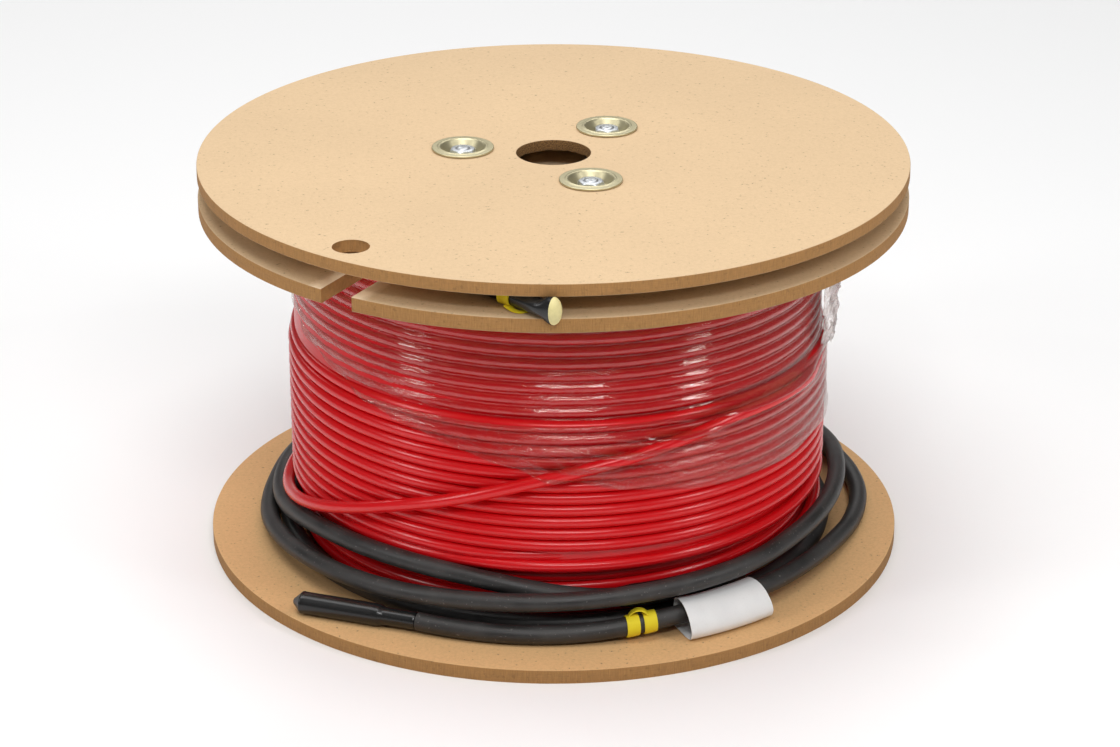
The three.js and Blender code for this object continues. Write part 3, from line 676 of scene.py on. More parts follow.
# Camera, light and floor
def area_light(name, location, target, size, power, tint=(1.0, 1.0, 1.0)):
    data = bpy.data.lights.new(name, "AREA")
    data.shape, data.size, data.size_y = "RECTANGLE", size[0], size[1]
    data.energy, data.color = power, tint
    light = bpy.data.objects.new(name, data)
    aim = np.array(target, float) - np.array(location, float)
    light.location = location
    light.rotation_euler = Vector(aim).to_track_quat("-Z", "Y").to_euler()
    bpy.context.scene.collection.objects.link(light)
    return light


class CABLEREEL_OT_stage(bpy.types.Operator):
    """Add the camera, the studio light and the floor"""
    bl_idname = "cable_reel.stage"
    bl_label = "Stage"

    def execute(self, context):
        scene, studio = context.scene, context.scene.cable_reel_studio
        data = bpy.data.cameras.new("camera")
        data.sensor_width, data.lens = 36.0, 105.43
        data.clip_start, data.clip_end = 0.05, 60.0
        camera = bpy.data.objects.new("camera", data)
        camera.location = (0.00366, -1.74324, 0.84721)
        camera.rotation_euler = (math.radians(90 - 23.358), 0.0, 0.0)
        scene.collection.objects.link(camera)
        scene.camera = camera

        shape = Shape()
        side = np.linspace(-9000, 9000, 3)
        x, y = np.meshgrid(side, side, indexing="ij")
        shape.grid(np.stack([x, y, np.zeros_like(x)], axis=-1), closed_columns=False, centre=(0, 0, -1000))
        mesh = shape.mesh("floor")
        mesh.materials.append(floor_finish(tuple(studio.floor_colour)))
        floor = bpy.data.objects.new("floor", mesh)
        scene.collection.objects.link(floor)

        power = studio.softbox_power
        area_light("softbox_above", (-0.2, -0.25, 2.6), (0, 0, 0.1), (2.2, 2.0), power)
        area_light("softbox_behind", (0.1, 2.6, 2.6), (0, 1.9, 0.0), (2.4, 1.2), power * 0.75)
        area_light("softbox_front", (0.3, -2.0, 1.9), (0, 0, 0.1), (1.1, 0.3), power * 0.36)
        area_light("softbox_left", (-2.1, -1.0, 1.5), (0, 0, 0.1), (0.35, 0.9), power * 0.24)
        area_light("softbox_right", (2.1, -1.1, 1.5), (0, 0, 0.1), (0.35, 0.9), power * 0.24)
        area_light("lamp_front", (-0.3, -2.1, 2.1), (0, 0, 0.12), (0.16, 0.08), power * 0.05)
        area_light("lamp_left", (-2.0, -0.5, 1.9), (0, 0, 0.12), (0.2, 0.07), power * 0.05)
        area_light("lamp_right", (1.9, -0.8, 1.9), (0, 0, 0.12), (0.2, 0.07), power * 0.06)
        area_light("lamp_behind", (-1.5, 1.5, 1.3), (0, 0, 0.12), (0.15, 0.1), power * 0.03)
        world = bpy.data.worlds.new("studio")
        world.use_nodes = True
        background = world.node_tree.nodes["Background"]
        background.inputs["Color"].default_value = (1.0, 1.0, 1.0, 1.0)
        background.inputs["Strength"].default_value = 0.12
        scene.world = world
        scene.view_settings.view_transform = "Standard"
        scene.view_settings.look = "None"
        return {"FINISHED"}


# The cold lead and the tail
def on_reel(route, travelled):
    """Points of a route given by travel, distance beyond the crest and height above the lower board."""
    beyond, height = wound(route, travelled).T
    return CREST + beyond, LOWER_BOARD[1] + height


def lead_points(travelled):
    radius, height = on_reel(LEAD_ROUTE, np.atleast_1d(travelled))
    return around(JOINT_END - np.atleast_1d(travelled), radius, height)


class CABLEREEL_OT_lead(bpy.types.Operator):
    """Add the black lead with its cap, yellow tie, label and joint sleeve"""
    bl_idname = "cable_reel.lead"
    bl_label = "Cold lead"

    def execute(self, context):
        settings = context.scene.cable_reel_lead
        end = LEAD_ROUTE[-1][0]
        travelled = np.linspace(0, end, 561)
        path = lead_points(travelled)
        radius = settings.diameter / MM / 2
        lead = swept(path, ring(radius, 20)).piece(
            "black_lead", lead_finish(tuple(settings.sheath_colour)), "black_rubber", ["cold_lead"])
        cap = self.cap(path[-1])
        tie = self.tie(radius)
        label = self.label()
        joint = self.joint()
        return {"FINISHED"}

    def cap(self, start):
        """A glossy cap turned about its own axis, narrow for its first quarter, with a ridge before its
        blunt cone."""
        tip = around(CAP_TIP[0], CREST + CAP_TIP[1], LOWER_BOARD[1] + CAP_TIP[2])
        axis = (tip - start) / np.linalg.norm(tip - start)
        along, radius = np.array([
            (0.6, 3.6), (0.7, 4.75), (1.6, 5.0), (10, 4.95), (19.5, 5.0), (22, 6.05), (24, 6.2), (45, 6.2),
            (60, 6.15), (66.8, 6.15), (67.6, 6.3), (68.3, 6.15), (69.2, 5.3), (71.5, 3.1), (73.0, 1.7),
            (73.4, 0.9), (73.5, 0.2),
        ]).T
        fine = np.linspace(0, len(along) - 1, 97)
        along, radius = (np.interp(fine, np.arange(len(along)), values) for values in (along, radius))
        path = start + axis * along[:, None]
        angle = full_turn(40)
        dents = 1 + 0.02 * wander(angle, 5, 3) * smooth_step(along, 26, 50)[:, None]
        side = np.cross(axis, [0.0, 0.0, 1.0])
        side /= np.linalg.norm(side)
        over = np.cross(side, axis)
        points = path[:, None] + (radius[:, None] * dents)[..., None] * (
            np.cos(angle)[:, None] * side + np.sin(angle)[:, None] * over)
        return Shape().grid(points, ends=True).piece(
            "lead_cap", black_shrink(), "black_shrink", ["lead_end_cap"], 60.0)

    def tie(self, radius):
        """Two flat bands round the lead, each a ring whose section is a rounded strip, and the narrow
        strip that loops up from one to the other."""
        shape = Shape()
        for number, azimuth in enumerate(TIE_AZIMUTHS):
            middle = JOINT_END - azimuth + TIE_LAP
            half = 3.5 / (CREST + 15.5) * 180 / np.pi
            path = lead_points(np.linspace(middle - half, middle + half, 9))
            across = np.linspace(-1, 1, 9)
            bulge = 0.15 * (1 - across ** 4)
            outer = ring(radius + 0.85 + bulge, 36)
            inner = ring(np.full_like(bulge, radius + 0.25), 36)
            points = np.concatenate([carried(path, outer), carried(path, inner)[::-1]])
            skew = 0.5 * np.sin(full_turn(36) + number)[:, None]
            points = points + skew * np.array([1.0, 0.25, 0.0])
            shape.grid(points, closed_rows=True)
        ends = JOINT_END - np.array(TIE_AZIMUTHS) + TIE_LAP
        share = np.linspace(0, 1, 25)
        path = lead_points(ends[0] + 0.55 + share * (ends[1] - ends[0] - 0.2))
        path[:, 2] += radius + 0.6 + 3.1 * np.sin(np.pi * share) ** 0.7
        path[:, 1] += 1.2 - 2.6 * share
        strip = rounded([(-2.2, -0.35), (2.2, -0.35), (2.2, 0.35), (-2.2, 0.35)], 0.3)
        shape.grid(carried(path, strip), ends=True)
        return shape.piece("yellow_tie", yellow_plastic(), "yellow_plastic", ["lead_tie"], 50.0)

    def label(self):
        """A paper loop bent round the reel's axis: its outline of (distance beyond the crest, height
        above the board) is a closed smooth curve, offset by the paper's thickness for its inner side."""
        outline = np.array([
            (9.2, 1.2), (12.5, 0.9), (19.5, 0.8), (25.5, 0.9), (29.6, 1.9), (31.2, 4.6), (30.9, 7.6),
            (28.8, 11.4), (25.2, 15.2), (20.8, 17.9), (16.2, 18.9), (12.2, 18.7), (9.4, 17.4),
            (8.4, 14.4), (8.1, 9.4), (8.2, 4.4),
        ])
        count = len(outline)
        looped = np.column_stack([np.arange(-3, count + 4), outline[np.arange(-3, count + 4) % count]])
        loop = wound(looped, np.linspace(0, count, 120, endpoint=False))
        along = np.gradient(loop, axis=0)
        inward = np.stack([-along[:, 1], along[:, 0]], axis=-1) / np.linalg.norm(along, axis=1, keepdims=True)
        width = np.linspace(0.5, -0.5, 41)
        shares = width[:, None] * LABEL_LENGTH / (CREST + 16.5) * 180 / np.pi
        lift = 0.5 * smooth_step(-width, 0.3, 0.5)[:, None] * np.maximum(0, loop[:, 1] - 9) / 9
        layers = []
        for offset in (0.0, 0.28):
            section = loop + inward * offset
            height = LOWER_BOARD[1] + section[:, 1] + lift
            layers.append(around(LABEL_AZIMUTH + shares, CREST + section[:, 0], height))
        points = np.concatenate([layers[0], layers[1][::-1]])
        shape = Shape().grid(points, closed_rows=True)
        return shape.piece("paper_label", paper_finish(), "paper", ["lead_label"], 50.0)

    def joint(self):
        """A shrink sleeve along the route's end, thinner at both ends."""
        radius, height = on_reel(LEAD_ROUTE, np.array([0.0]))
        azimuth = np.linspace(JOINT_START - 0.3, JOINT_END + 0.3, 40)
        path = around(azimuth, radius, height)
        share = np.linspace(0, 1, 40)
        size = 6.4 - 1.0 * (1 - smooth_step(share, 0, 0.12)) - 0.9 * smooth_step(share, 0.9, 1)
        return swept(path, ring(size, 24)).piece(
            "joint_sleeve", black_shrink(), "black_shrink", ["splice_sleeve"])


def in_gap(points, count):
    table = np.array(points, float) + [0, 0, GAP_MIDDLE]
    return through(table, count)


class CABLEREEL_OT_tail(bpy.types.Operator):
    """Add the cable's inner end with its sleeve, bead and tape, in the gap between the upper boards"""
    bl_idname = "cable_reel.tail"
    bl_label = "Stowed tail"

    def execute(self, context):
        diameter = context.scene.cable_reel_winding.diameter
        path = in_gap(TAIL_ROUTE, 60)
        tail = swept(path, ring(diameter / MM / 2, 20)).piece(
            "stowed_tail", red_sheath(), "red_sheath", ["cable_tail"])
        pieces = [self.sleeve(), self.bead(), self.tape()]
        return {"FINISHED"}

    @staticmethod
    def flare_line(along):
        """Points straight on from the sleeve's mouth."""
        start = np.array(FLARE_START, float) + [0, 0, GAP_MIDDLE]
        direction = around(FLARE_AZIMUTH, 1.0, 0.0)
        return start + np.asarray(along, float)[:, None] * direction

    def sleeve(self):
        """A tube along the sleeve's route that goes over into a flattened flare, its mouth pinched to an
        oval."""
        straight = self.flare_line(np.linspace(-0.5, 8.8, 16))
        path = np.concatenate([in_gap(SLEEVE_ROUTE, 30)[:-1], straight])
        flared = smooth_step(np.arange(len(path)), len(path) - 16, len(path) - 3)
        height = 4.55 + flared * 3.1
        width = 4.55 - flared * 0.9
        angle = full_turn(32)
        folds = 1 + 0.05 * flared[:, None] * np.cos(5 * angle + 0.7)
        section = np.stack([width[:, None] * np.cos(angle), height[:, None] * np.sin(angle)], axis=-1)
        section *= folds[..., None]
        return swept(path, section).piece(
            "tail_sleeve", black_shrink(), "black_shrink", ["tail_end_sleeve"], 50.0)

    def bead(self):
        """Half an egg laid on the sleeve's mouth: an oval section that shrinks as the square root towards
        its tip."""
        share = np.linspace(0, 1, 18)
        path = self.flare_line(9.05 + 4.3 * share)
        size = np.sqrt(np.clip(1 - share ** 2, 0.0004, 1))
        angle = full_turn(36)
        section = size[:, None, None] * np.stack([4.6 * np.cos(angle), 7.6 * np.sin(angle)], axis=-1)
        cream = plastic_finish("cream_compound", (0.78, 0.68, 0.32), 0.45)
        return swept(path, section).piece(
            "cream_bead", cream, "cream_plastic", ["tail_end_bead"], 60.0)

    def tape(self):
        """A bunched ring of tape round the sleeve and a loose tongue that droops on the board."""
        centre = np.array(TAPE_PLACE) + [0, 0, GAP_MIDDLE]
        turn = math.radians(-TAPE_TURN)
        heading = np.array([math.cos(turn), math.sin(turn), 0.0])
        along = np.linspace(-4.2, 4.2, 22)
        angle = full_turn(40)
        folds = 0.35 * np.cos(3 * angle + along[:, None]) + 0.3 * np.sin(2.2 * along[:, None] + 2 * angle)
        path = centre + along[:, None] * heading
        outer = (5.3 + folds * 0.55)[..., None] * np.stack([np.cos(angle), np.sin(angle)], axis=-1)
        inner = np.broadcast_to(ring(4.75, 40), outer.shape)
        points = np.concatenate([carried(path, outer), carried(path, inner)[::-1]])
        shape = Shape().grid(points, closed_rows=True)
        tongue = in_gap(TONGUE_ROUTE, 24)
        strip = rounded([(-1.9, -0.22), (1.9, -0.22), (1.9, 0.22), (-1.9, 0.22)], 0.2)
        shape.grid(carried(tongue, strip), ends=True)
        return shape.piece("tail_tape", yellow_plastic(), "yellow_plastic", ["tail_tie"], 50.0)


# Boards and fasteners
def bolt_centres():
    return [around(azimuth, BOLT_CIRCLE, 0.0)[:2] for azimuth in BOLT_AZIMUTHS]


def cutter(name, points):
    """A hidden closed shape that a board's blank is cut with."""
    tool = bpy.data.objects.new(name, Shape().grid(points, ends=True).mesh(name))
    bpy.context.scene.collection.objects.link(tool)
    return tool


def round_cutter(name, radius, centre, base, top):
    return cutter(name, turned([(radius, base), (radius, top)], 64, centre))


class CABLEREEL_OT_boards(bpy.types.Operator):
    """Add the three fibreboard discs with their holes and worn edges"""
    bl_idname = "cable_reel.boards"
    bl_label = "Boards"

    def execute(self, context):
        settings = context.scene.cable_reel_boards
        edge = tuple(settings.edge_colour)
        upper = tuple(settings.upper_colour)
        light = board_finish("light_board", upper, edge, 0.6, 0.35)
        slotted = board_finish("slotted_board", shade(upper, 0.85), edge, 0.6, 0.4, True)
        dark = board_finish("dark_board", tuple(settings.lower_colour), shade(edge, 0.95), 0.8, 0.55)
        rounding = settings.edge_rounding / MM
        hole = DISH_RADIUS + 2 * CLEARANCE
        for name, heights, material, slot, seed in (
            ("bottom_flange", LOWER_BOARD, dark, "dark_board", 11),
            ("winding_flange", MIDDLE_BOARD, slotted, "board", 12),
            ("top_flange", UPPER_BOARD, light, "board", 13),
        ):
            base, top = heights
            tools = []
            for number, centre in enumerate(bolt_centres()):
                radius = BOLT_RADIUS + CLEARANCE if name == "winding_flange" else hole
                tools.append(round_cutter(f"hole_{number}", radius, centre, base - 3, top + 3))
                if name == "bottom_flange":
                    recess, depth = WASHER_RADIUS + 2 * CLEARANCE, WASHER_SHEET + 2 * CLEARANCE
                    tools.append(round_cutter(f"recess_{number}", recess, centre, base - 3, depth))
            if name == "winding_flange":
                tools.append(self.slot_cutter(base, top))
            if name == "top_flange":
                azimuth, distance, radius = EDGE_HOLE
                centre = around(azimuth, distance, 0.0)[:2]
                tools.append(round_cutter("edge_hole", radius, centre, base - 3, top + 3))
            self.board(f"{name}_board", base, top, rounding, seed, tools, material, slot, name)
        return {"FINISHED"}

    @staticmethod
    def slot_cutter(base, top):
        """The slot's outline, two parallel sides off the axis, swept upwards and turned to its azimuth."""
        centre, half = SLOT["offset"], SLOT["width"] / 2
        inner, outer = SLOT["inner_end"], FLANGE_RADIUS + 12
        outline = rounded([(-centre - half, -outer), (-centre + half, -outer), (-centre + half, -inner),
                           (-centre - half, -inner)], 1.5, 4)
        angle = math.radians(SLOT["azimuth"])
        turn = np.array([[math.cos(angle), math.sin(angle)], [-math.sin(angle), math.cos(angle)]])
        outline = outline @ turn
        flat = np.broadcast_to(outline, (2, len(outline), 2))
        height = np.broadcast_to(np.array([base - 3, top + 3])[:, None, None], (2, len(outline), 1))
        return cutter("slot", np.concatenate([flat, height], axis=-1))

    @staticmethod
    def board(name, base, top, rounding, seed, tools, material, slot, node):
        """A ring turned from a rectangle with rounded corners. The rim wanders by a few hundredths, and
        the bore's lower edge is torn: its points are moved up and in by a random curve of the azimuth."""
        corners = [(BORE_RADIUS, base), (FLANGE_RADIUS, base), (FLANGE_RADIUS, top), (BORE_RADIUS, top)]
        profile = rounded(corners, rounding)
        azimuth = np.linspace(0, 360, 256, endpoint=False)
        angle = turn_to_radians(azimuth)
        radius = np.broadcast_to(profile[:, :1], (len(profile), 256)).copy()
        height = np.broadcast_to(profile[:, 1:], (len(profile), 256)).copy()
        radius[profile[:, 0] > 100] -= 0.06 + 0.06 * wander(angle, seed, 60, 0.2)
        torn = (profile[:, 0] < BORE_RADIUS + 1) & (profile[:, 1] < base + 1)
        height[torn] += 0.5 + 0.9 * np.maximum(0, wander(angle, seed + 20, 34, 0.15)) * 2.5
        ring_shape = Shape().grid(around(azimuth, radius, height), closed_rows=True)
        blank = bpy.data.objects.new(name, ring_shape.mesh(name, 50.0))
        bpy.context.scene.collection.objects.link(blank)
        for tool in tools:
            cut = blank.modifiers.new(tool.name, "BOOLEAN")
            cut.operation, cut.solver, cut.object = "DIFFERENCE", "EXACT", tool
        evaluated(blank)
        mesh = blank.data
        mesh.polygons.foreach_set("use_smooth", [True] * len(mesh.polygons))
        mesh.set_sharp_from_angle(angle=math.radians(50))
        bpy.data.objects.remove(blank)
        for tool in tools:
            bpy.data.objects.remove(tool)
        return place(name, mesh, material, slot, [node])


class CABLEREEL_OT_fasteners(bpy.types.Operator):
    """Add the dished washers, nuts and bolts, and finish the spacers and the barrel"""
    bl_idname = "cable_reel.fasteners"
    bl_label = "Fasteners"

    def execute(self, context):
        yellow = finish_named("yellow_zinc", yellow_zinc_finish)
        bright = finish_named("bright_zinc", bright_zinc_finish)
        card = finish_named("card", card_finish)
        lower_seat = LOWER_BOARD[0] + CLEARANCE + WASHER_SHEET
        upper_seat = UPPER_BOARD[1] + CLEARANCE
        head_top = lower_seat + DISH_DEPTH - WASHER_SHEET - CLEARANCE
        nut_base = upper_seat - DISH_DEPTH + WASHER_SHEET + CLEARANCE
        bolt_end = reach("bolt_1")[1][2]
        for number, centre in enumerate(bolt_centres(), 1):
            turn = 17.0 * number
            self.washer(f"dished_washer_{number}", upper_seat, 1, centre, yellow, f"upper_washer_{number}")
            self.washer(f"hidden_washer_{number}", lower_seat, -1, centre, yellow, f"lower_washer_{number}")
            self.hexagon(f"hex_nut_{number}", nut_base, centre, turn, bright, f"nut_{number}")
            self.bolt(f"threaded_bolt_{number}", head_top, bolt_end, centre, turn, bright, f"bolt_{number}")
        for node in ("barrel", "spacer_1", "spacer_2", "spacer_3"):
            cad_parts[node].data.materials.clear()
            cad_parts[node].data.materials.append(card)
        return {"FINISHED"}

    @staticmethod
    def washer(name, seat, side, centre, material, node):
        """A pressed washer: its profile runs along the rim, over a small raised bead and down the dish to
        its floor, and back at the sheet's thickness."""
        outer = np.array([
            (BOLT_RADIUS + CLEARANCE, -DISH_DEPTH), (DISH_FLOOR - 1.4, -DISH_DEPTH),
            (DISH_FLOOR, -DISH_DEPTH + 0.5), (DISH_RADIUS - 1.1, -1.6), (DISH_RADIUS - 0.2, -0.15),
            (DISH_RADIUS + 0.6, 0.0), (WASHER_RADIUS - 0.25, 0.0), (WASHER_RADIUS, 0.3),
        ])
        inner = np.array([
            (WASHER_RADIUS, WASHER_SHEET - 0.3), (WASHER_RADIUS - 0.3, WASHER_SHEET),
            (DISH_RADIUS + 1.1, WASHER_SHEET), (DISH_RADIUS + 0.5, WASHER_SHEET + 0.28),
            (DISH_RADIUS - 0.3, WASHER_SHEET + 0.28), (DISH_RADIUS - 1.0, WASHER_SHEET - 0.25),
            (DISH_FLOOR - 0.4, WASHER_SHEET - DISH_DEPTH + 0.8),
            (DISH_FLOOR - 1.8, WASHER_SHEET - DISH_DEPTH),
            (BOLT_RADIUS + CLEARANCE, WASHER_SHEET - DISH_DEPTH),
        ])
        profile = rounded(np.concatenate([outer, inner]), 0.5, 4) * [1, side] + [0, seat]
        Shape().grid(turned(profile, 96, centre), closed_rows=True).piece(name, material, "yellow_zinc", [node], 50.0)

    @staticmethod
    def hexagon(name, base, centre, turn, material, node):
        """A hexagon nut: at each azimuth the radius is the flat's, cut at both ends by a chamfer cone."""
        azimuth = np.linspace(0, 360, 96, endpoint=False)
        from_flat = np.radians((azimuth + 30) % 60 - 30)
        flat = ACROSS_FLATS / 2 / np.cos(from_flat)
        share = np.array([0, 0.0, 0.05, 0.12, 0.2, 0.5, 0.8, 0.88, 0.95, 1.0, 1.0])
        bore = BOLT_RADIUS + 0.15
        cone = np.array([bore, 6.15, 6.6, 7.1, 7.7, 9.0, 7.7, 7.1, 6.6, 6.15, bore])
        radius = np.minimum(flat[None, :], cone[:, None])
        points = around(azimuth + turn, radius, base + NUT_HEIGHT * share[:, None]) + np.array([*centre, 0.0])
        Shape().grid(points, closed_rows=True).piece(name, material, "bright_zinc", [node], 30.0)

    @staticmethod
    def bolt(name, head_top, end, centre, turn, material, node):
        """A bolt: a hexagon head below, a shank, and a thread whose radius swings with the height and the
        azimuth, up to a rough domed end."""
        azimuth = np.linspace(0, 360, 48, endpoint=False)
        angle = turn_to_radians(azimuth)
        flat = ACROSS_FLATS / 2 / np.cos(np.radians((azimuth + 30) % 60 - 30))
        head = np.array([(0.3, 0.05), (6.0, 0.0), (6.9, 0.5), (9.0, 1.2), (9.0, 4.9), (7.2, HEAD_HEIGHT)])
        head_radius = np.minimum(flat, head[:, :1])
        head_height = np.broadcast_to(head_top - HEAD_HEIGHT + head[:, 1:], head_radius.shape)
        height = np.concatenate([[head_top], np.linspace(end - 16, end - 0.9, 100)])
        thread = 3.78 + 0.2 * np.cos(2 * np.pi * height[:, None] / 1.25 + angle)
        thread[0] = BOLT_RADIUS - 0.1
        dome = np.array([(3.3, end - 0.45), (2.6, end - 0.2), (1.4, end - 0.25), (0.2, end - 0.3)])
        pits = 0.18 * wander(angle, 40 + int(turn), 9, 0.2)
        dome_height = dome[:, 1:] + pits * np.array([0.3, 1.0, 1.0, 0.2])[:, None]
        radius = np.concatenate([head_radius, thread, np.broadcast_to(dome[:, :1], dome_height.shape)])
        heights = np.concatenate([head_height, np.broadcast_to(height[:, None], thread.shape), dome_height])
        points = around(azimuth + turn, radius, heights) + np.array([*centre, 0.0])
        Shape().grid(points, ends=True).piece(name, material, "bright_zinc", [node], 40.0)


# Winding
def row_height(turns, pitch):
    """Height of the outer rows' cable centre after so many turns down from the top."""
    return WINDING_TOP - TOP_ROW_DROP - pitch * np.maximum(turns, 0)


def layer_step(height):
    """How far the rows lie further in above the height where the outermost layer ends."""
    return LAYER_STEP * smooth_step(height, LAYER_END, LAYER_END + 6.0)


class CABLEREEL_OT_winding(bpy.types.Operator):
    """Add the wound rows of red cable and the last turn that crosses them"""
    bl_idname = "cable_reel.winding"
    bl_label = "Winding"

    def execute(self, context):
        settings = context.scene.cable_reel_winding
        radius, pitch, shift = settings.diameter / MM / 2, settings.pitch / MM, settings.shift / MM
        shape = Shape()
        centre_radius = CREST - radius
        turns = np.arange(-0.5, 21.45, 1 / 120)
        azimuth = turns * 360
        angle = turn_to_radians(azimuth)
        lie = 0.35 * wander(angle, 1, 5) + 0.22 * wander(angle / 7.3, 2, 90, 0.1) * 2
        height = row_height(turns, pitch) + lie
        dive = smooth_step(turns, 20.94, 21.04) + smooth_step(turns, -0.42, -0.5)
        distance = centre_radius + 0.5 * wander(angle / 5.1, 3, 80, 0.1) - END_DIVE * dive - layer_step(height)
        shape.grid(self.rows(azimuth, distance, height, shift, radius), ends=True)
        azimuth = np.arange(-196, 184, 3.0)
        dive = smooth_step(np.abs(azimuth + 6), 150, 186)
        height = LOWEST_ROW_HEIGHT + 0.5 * wander(turn_to_radians(azimuth), 4, 4) - 2.0 * dive
        shape.grid(self.rows(azimuth, centre_radius - END_DIVE * dive, height, shift, radius), ends=True)
        turns = np.arange(0, FOOT_ROWS + 0.9, 1 / 100)
        azimuth = 150 + turns * 360
        foot = centre_radius - 6.6 + 0.3 * wander(turn_to_radians(azimuth) / 4.7, 6, 40, 0.1)
        height = WINDING_FOOT + radius + pitch * turns
        shape.grid(self.rows(azimuth, foot, height, 0.4 * shift, radius), ends=True)
        self.core(shape)
        shape.piece("wound_cable", red_sheath(), "red_sheath", ["cable_winding"], 60.0)

        travelled = np.linspace(0, LAST_TURN_ROUTE[0][0] - LAST_TURN_ROUTE[-1][0], 260)
        start = LAST_TURN_ROUTE[0][0]
        route = [(start - azimuth, beyond, height) for azimuth, beyond, height in LAST_TURN_ROUTE]
        distance, height = on_reel(route, travelled)
        path = around(start - travelled, distance, height)
        path[:, 0] += shift * (1 - smooth_step(travelled, 60, 160))
        swept(path, ring(radius, 20)).piece(
            "crossing_turn", red_sheath(), "red_sheath", ["last_turn"])
        return {"FINISHED"}

    @staticmethod
    def rows(azimuth, distance, height, shift, radius):
        """A round section carried along turns about the axis, shifted to the right."""
        path = around(azimuth, distance, height) + np.array([shift, 0.0, 0.0])
        return carried(path, ring(radius, 14))

    @staticmethod
    def core(shape):
        """What fills the winding behind its outer rows: a turned ring whose ends show the layers as
        half-round bumps, the height of each bump following a sine."""
        bore = reach("barrel")[1][0] + CLEARANCE
        layer = (CREST - bore) / LAYERS
        outer = np.linspace(CREST - 3.2 - LAYER_STEP, bore, LAYERS * 12)
        bumps = 2.6 * (1 - np.abs(np.sin(np.pi * (outer - bore) / layer)))
        top = np.column_stack([outer, WINDING_TOP - bumps])
        inner = outer[::-1][:-13]
        bottom = np.column_stack([inner, WINDING_FOOT + bumps[::-1][:-13]])
        step = [(CREST - layer - 3.2, 43.0), (CREST - 4.0, 43.5)]
        shape.grid(turned(np.concatenate([top, bottom, step]), 144), closed_rows=True)


# Film
def film_edge(azimuth):
    """Height of the film's lower edge: a slanting plane through the winding, with a little wandering."""
    place = around(azimuth, CREST + 1.0, 0.0)
    low_wave = 2.2 * wander(turn_to_radians(azimuth), 8, 14, 0.6)
    return FILM_EDGE_HEIGHT + FILM_RISE[0] * place[..., 0] + FILM_RISE[1] * place[..., 1] + low_wave


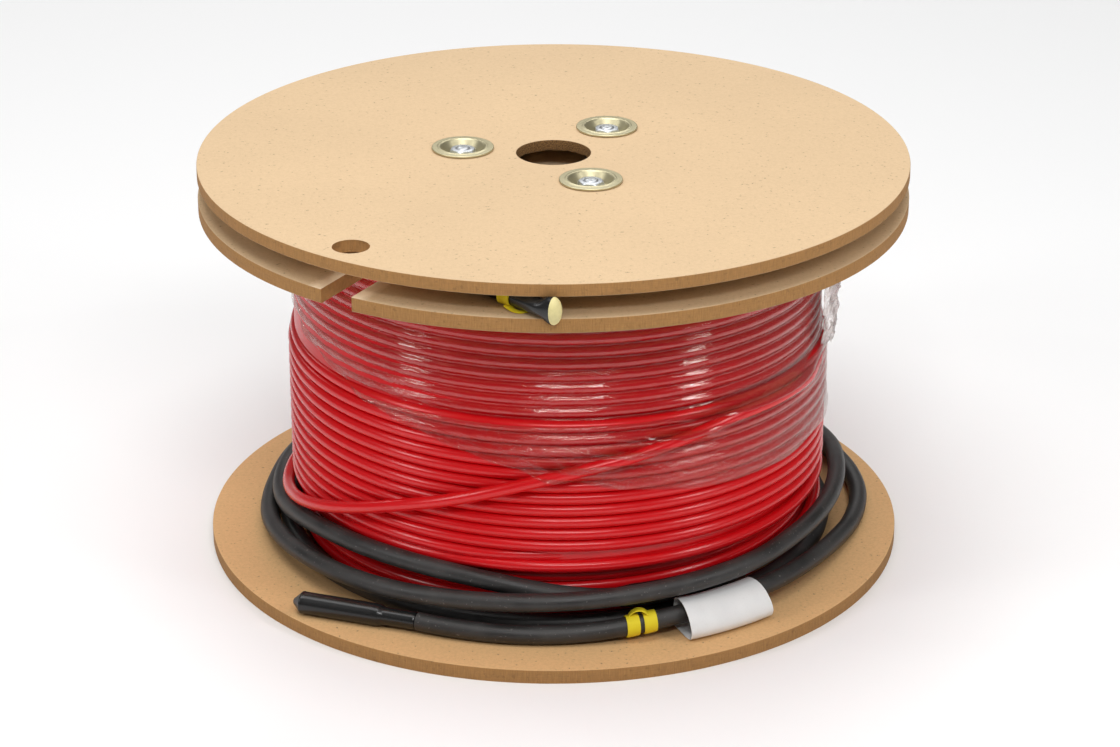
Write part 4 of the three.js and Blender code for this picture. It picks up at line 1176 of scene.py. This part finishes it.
class CABLEREEL_OT_film(bpy.types.Operator):
    """Add the clear stretch film round the upper rows, and its bunched end"""
    bl_idname = "cable_reel.film"
    bl_label = "Stretch film"

    def execute(self, context):
        settings = context.scene.cable_reel_film
        pitch = context.scene.cable_reel_winding.pitch / MM
        shift = context.scene.cable_reel_winding.shift / MM
        material = film_finish(tuple(settings.tint))
        columns, rows = 400, 118
        azimuth = np.linspace(-180, 180, columns, endpoint=False)[None, :]
        share = np.linspace(0, 1, rows)[:, None]
        edge = film_edge(azimuth)
        top = WINDING_TOP - 0.3
        height = top + (edge - top) * share
        distance = self.lie(azimuth, height, edge, pitch, settings.sag / MM, settings.crease / MM)
        points = around(azimuth, distance, height) + np.array([shift, 0.0, 0.0])
        film = Shape().grid(points, centre=(0, 0, 150)).piece(
            "wrapped_film", material, "clear_film", ["stretch_film"], 180.0)
        wall = film.modifiers.new("wall", "SOLIDIFY")
        wall.thickness, wall.offset = 0.00012, 1.0
        evaluated(film)
        tuft = self.tuft(tuft_finish(tuple(settings.tint)), shift)
        return {"FINISHED"}

    @staticmethod
    def lie(azimuth, height, edge, pitch, sag, crease):
        """The film's distance from the axis. It touches each row and sinks between two by a cosine, rises
        over the crossing turn as a bell curve, and carries sharp creases: a power of one minus the sine's
        size, drawn out round the reel and strongest near the lower edge."""
        angle = turn_to_radians(azimuth)
        rows = (WINDING_TOP - TOP_ROW_DROP - height) / pitch - azimuth / 360
        distance = CREST + 0.55 - layer_step(height) - sag * (0.5 - 0.5 * np.cos(2 * np.pi * rows)) ** 1.5
        start = LAST_TURN_ROUTE[0][0]
        route = [(start - place, beyond, up) for place, beyond, up in LAST_TURN_ROUTE]
        travelled = np.clip(start - azimuth[0], 0, 120)
        beyond, up = wound(route, travelled).T
        across = height - (LOWER_BOARD[1] + up)
        present = smooth_step(azimuth, -40, -28) * (1 - smooth_step(azimuth, 70, 78))
        tent = np.maximum(0, beyond + 3.9) * np.exp(-((across / 5.2) ** 2)) * present
        above = height - edge
        near_edge = np.exp(-above / 11.0)
        drift = 1.4 * wander(angle, 21, 9, 0.7)
        folds = (1 - np.abs(np.sin(0.62 * above + drift))) ** 3
        fine = (1 - np.abs(np.sin(1.45 * above - 2.3 * drift))) ** 4
        ripples = 0.12 * wander(angle + 0.021 * height, 23, 70, 0.3)
        hem = 0.5 * np.exp(-(((height - edge) / 0.9) ** 2))
        return distance + tent + crease * (folds + 0.6 * fine) * (0.06 + near_edge) + ripples + hem

    @staticmethod
    def tuft(material, shift):
        """The bunched end of the film under the middle board: a small sheet whose distance, height and
        azimuth are shaken by crossed sharp folds."""
        u = np.linspace(0, 1, 60)[:, None]
        v = np.linspace(0, 1, 50)[None, :]
        crumple = 1 - np.abs(np.sin(9 * u + 5 * v + 2.2 * np.sin(7 * v)))
        cross = 1 - np.abs(np.sin(13 * v - 6 * u + 1.7 * np.sin(9 * u)))
        azimuth = 71 + 22 * u + 3.5 * (cross - 0.5) * v
        height = 168.0 - 36 * v - 3 * crumple * v
        bulge = np.sin(np.pi * u) * (1 - 0.6 * v)
        distance = CREST + 2.4 + 5.0 * bulge * (0.5 + 0.5 * crumple) + 2.2 * cross * bulge
        points = around(azimuth, distance, height) + np.array([shift, 0.0, 0.0])
        shape = Shape().grid(points, closed_columns=False, centre=(0, 0, 150))
        piece = shape.piece("film_tuft", material, "clear_film", (), 180.0)
        wall = piece.modifiers.new("wall", "SOLIDIFY")
        wall.thickness, wall.offset = 0.0002, 1.0
        return evaluated(piece)


STEPS = (
    CABLEREEL_OT_stage, CABLEREEL_OT_lead, CABLEREEL_OT_tail, CABLEREEL_OT_winding, CABLEREEL_OT_film,
    CABLEREEL_OT_boards, CABLEREEL_OT_fasteners,
)
GROUPS = {
    "cable_reel_boards": CableReelBoards,
    "cable_reel_winding": CableReelWinding,
    "cable_reel_lead": CableReelLead,
    "cable_reel_film": CableReelFilm,
    "cable_reel_studio": CableReelStudio,
}


class CABLEREEL_PT_panel(bpy.types.Panel):
    """Lists the reel's settings and the steps that build it"""
    bl_idname = "CABLEREEL_PT_panel"
    bl_label = "Heating Cable Reel"
    bl_space_type = "VIEW_3D"
    bl_region_type = "UI"
    bl_category = "Cable Reel"

    def draw(self, context):
        for name, group in GROUPS.items():
            box = self.layout.box()
            for setting in group.__annotations__:
                box.prop(getattr(context.scene, name), setting)
        for step in STEPS:
            self.layout.operator(step.bl_idname)


CLASSES = (*GROUPS.values(), *STEPS, CABLEREEL_PT_panel)


def register():
    for item in CLASSES:
        bpy.utils.register_class(item)
    for name, group in GROUPS.items():
        setattr(bpy.types.Scene, name, bpy.props.PointerProperty(type=group))


def unregister():
    for name in GROUPS:
        delattr(bpy.types.Scene, name)
    for item in reversed(CLASSES):
        bpy.utils.unregister_class(item)


def main():
    register()
    for step in STEPS:
        group, name = step.bl_idname.split(".")
        getattr(getattr(bpy.ops, group), name)()


if __name__ == "__main__":
    main()
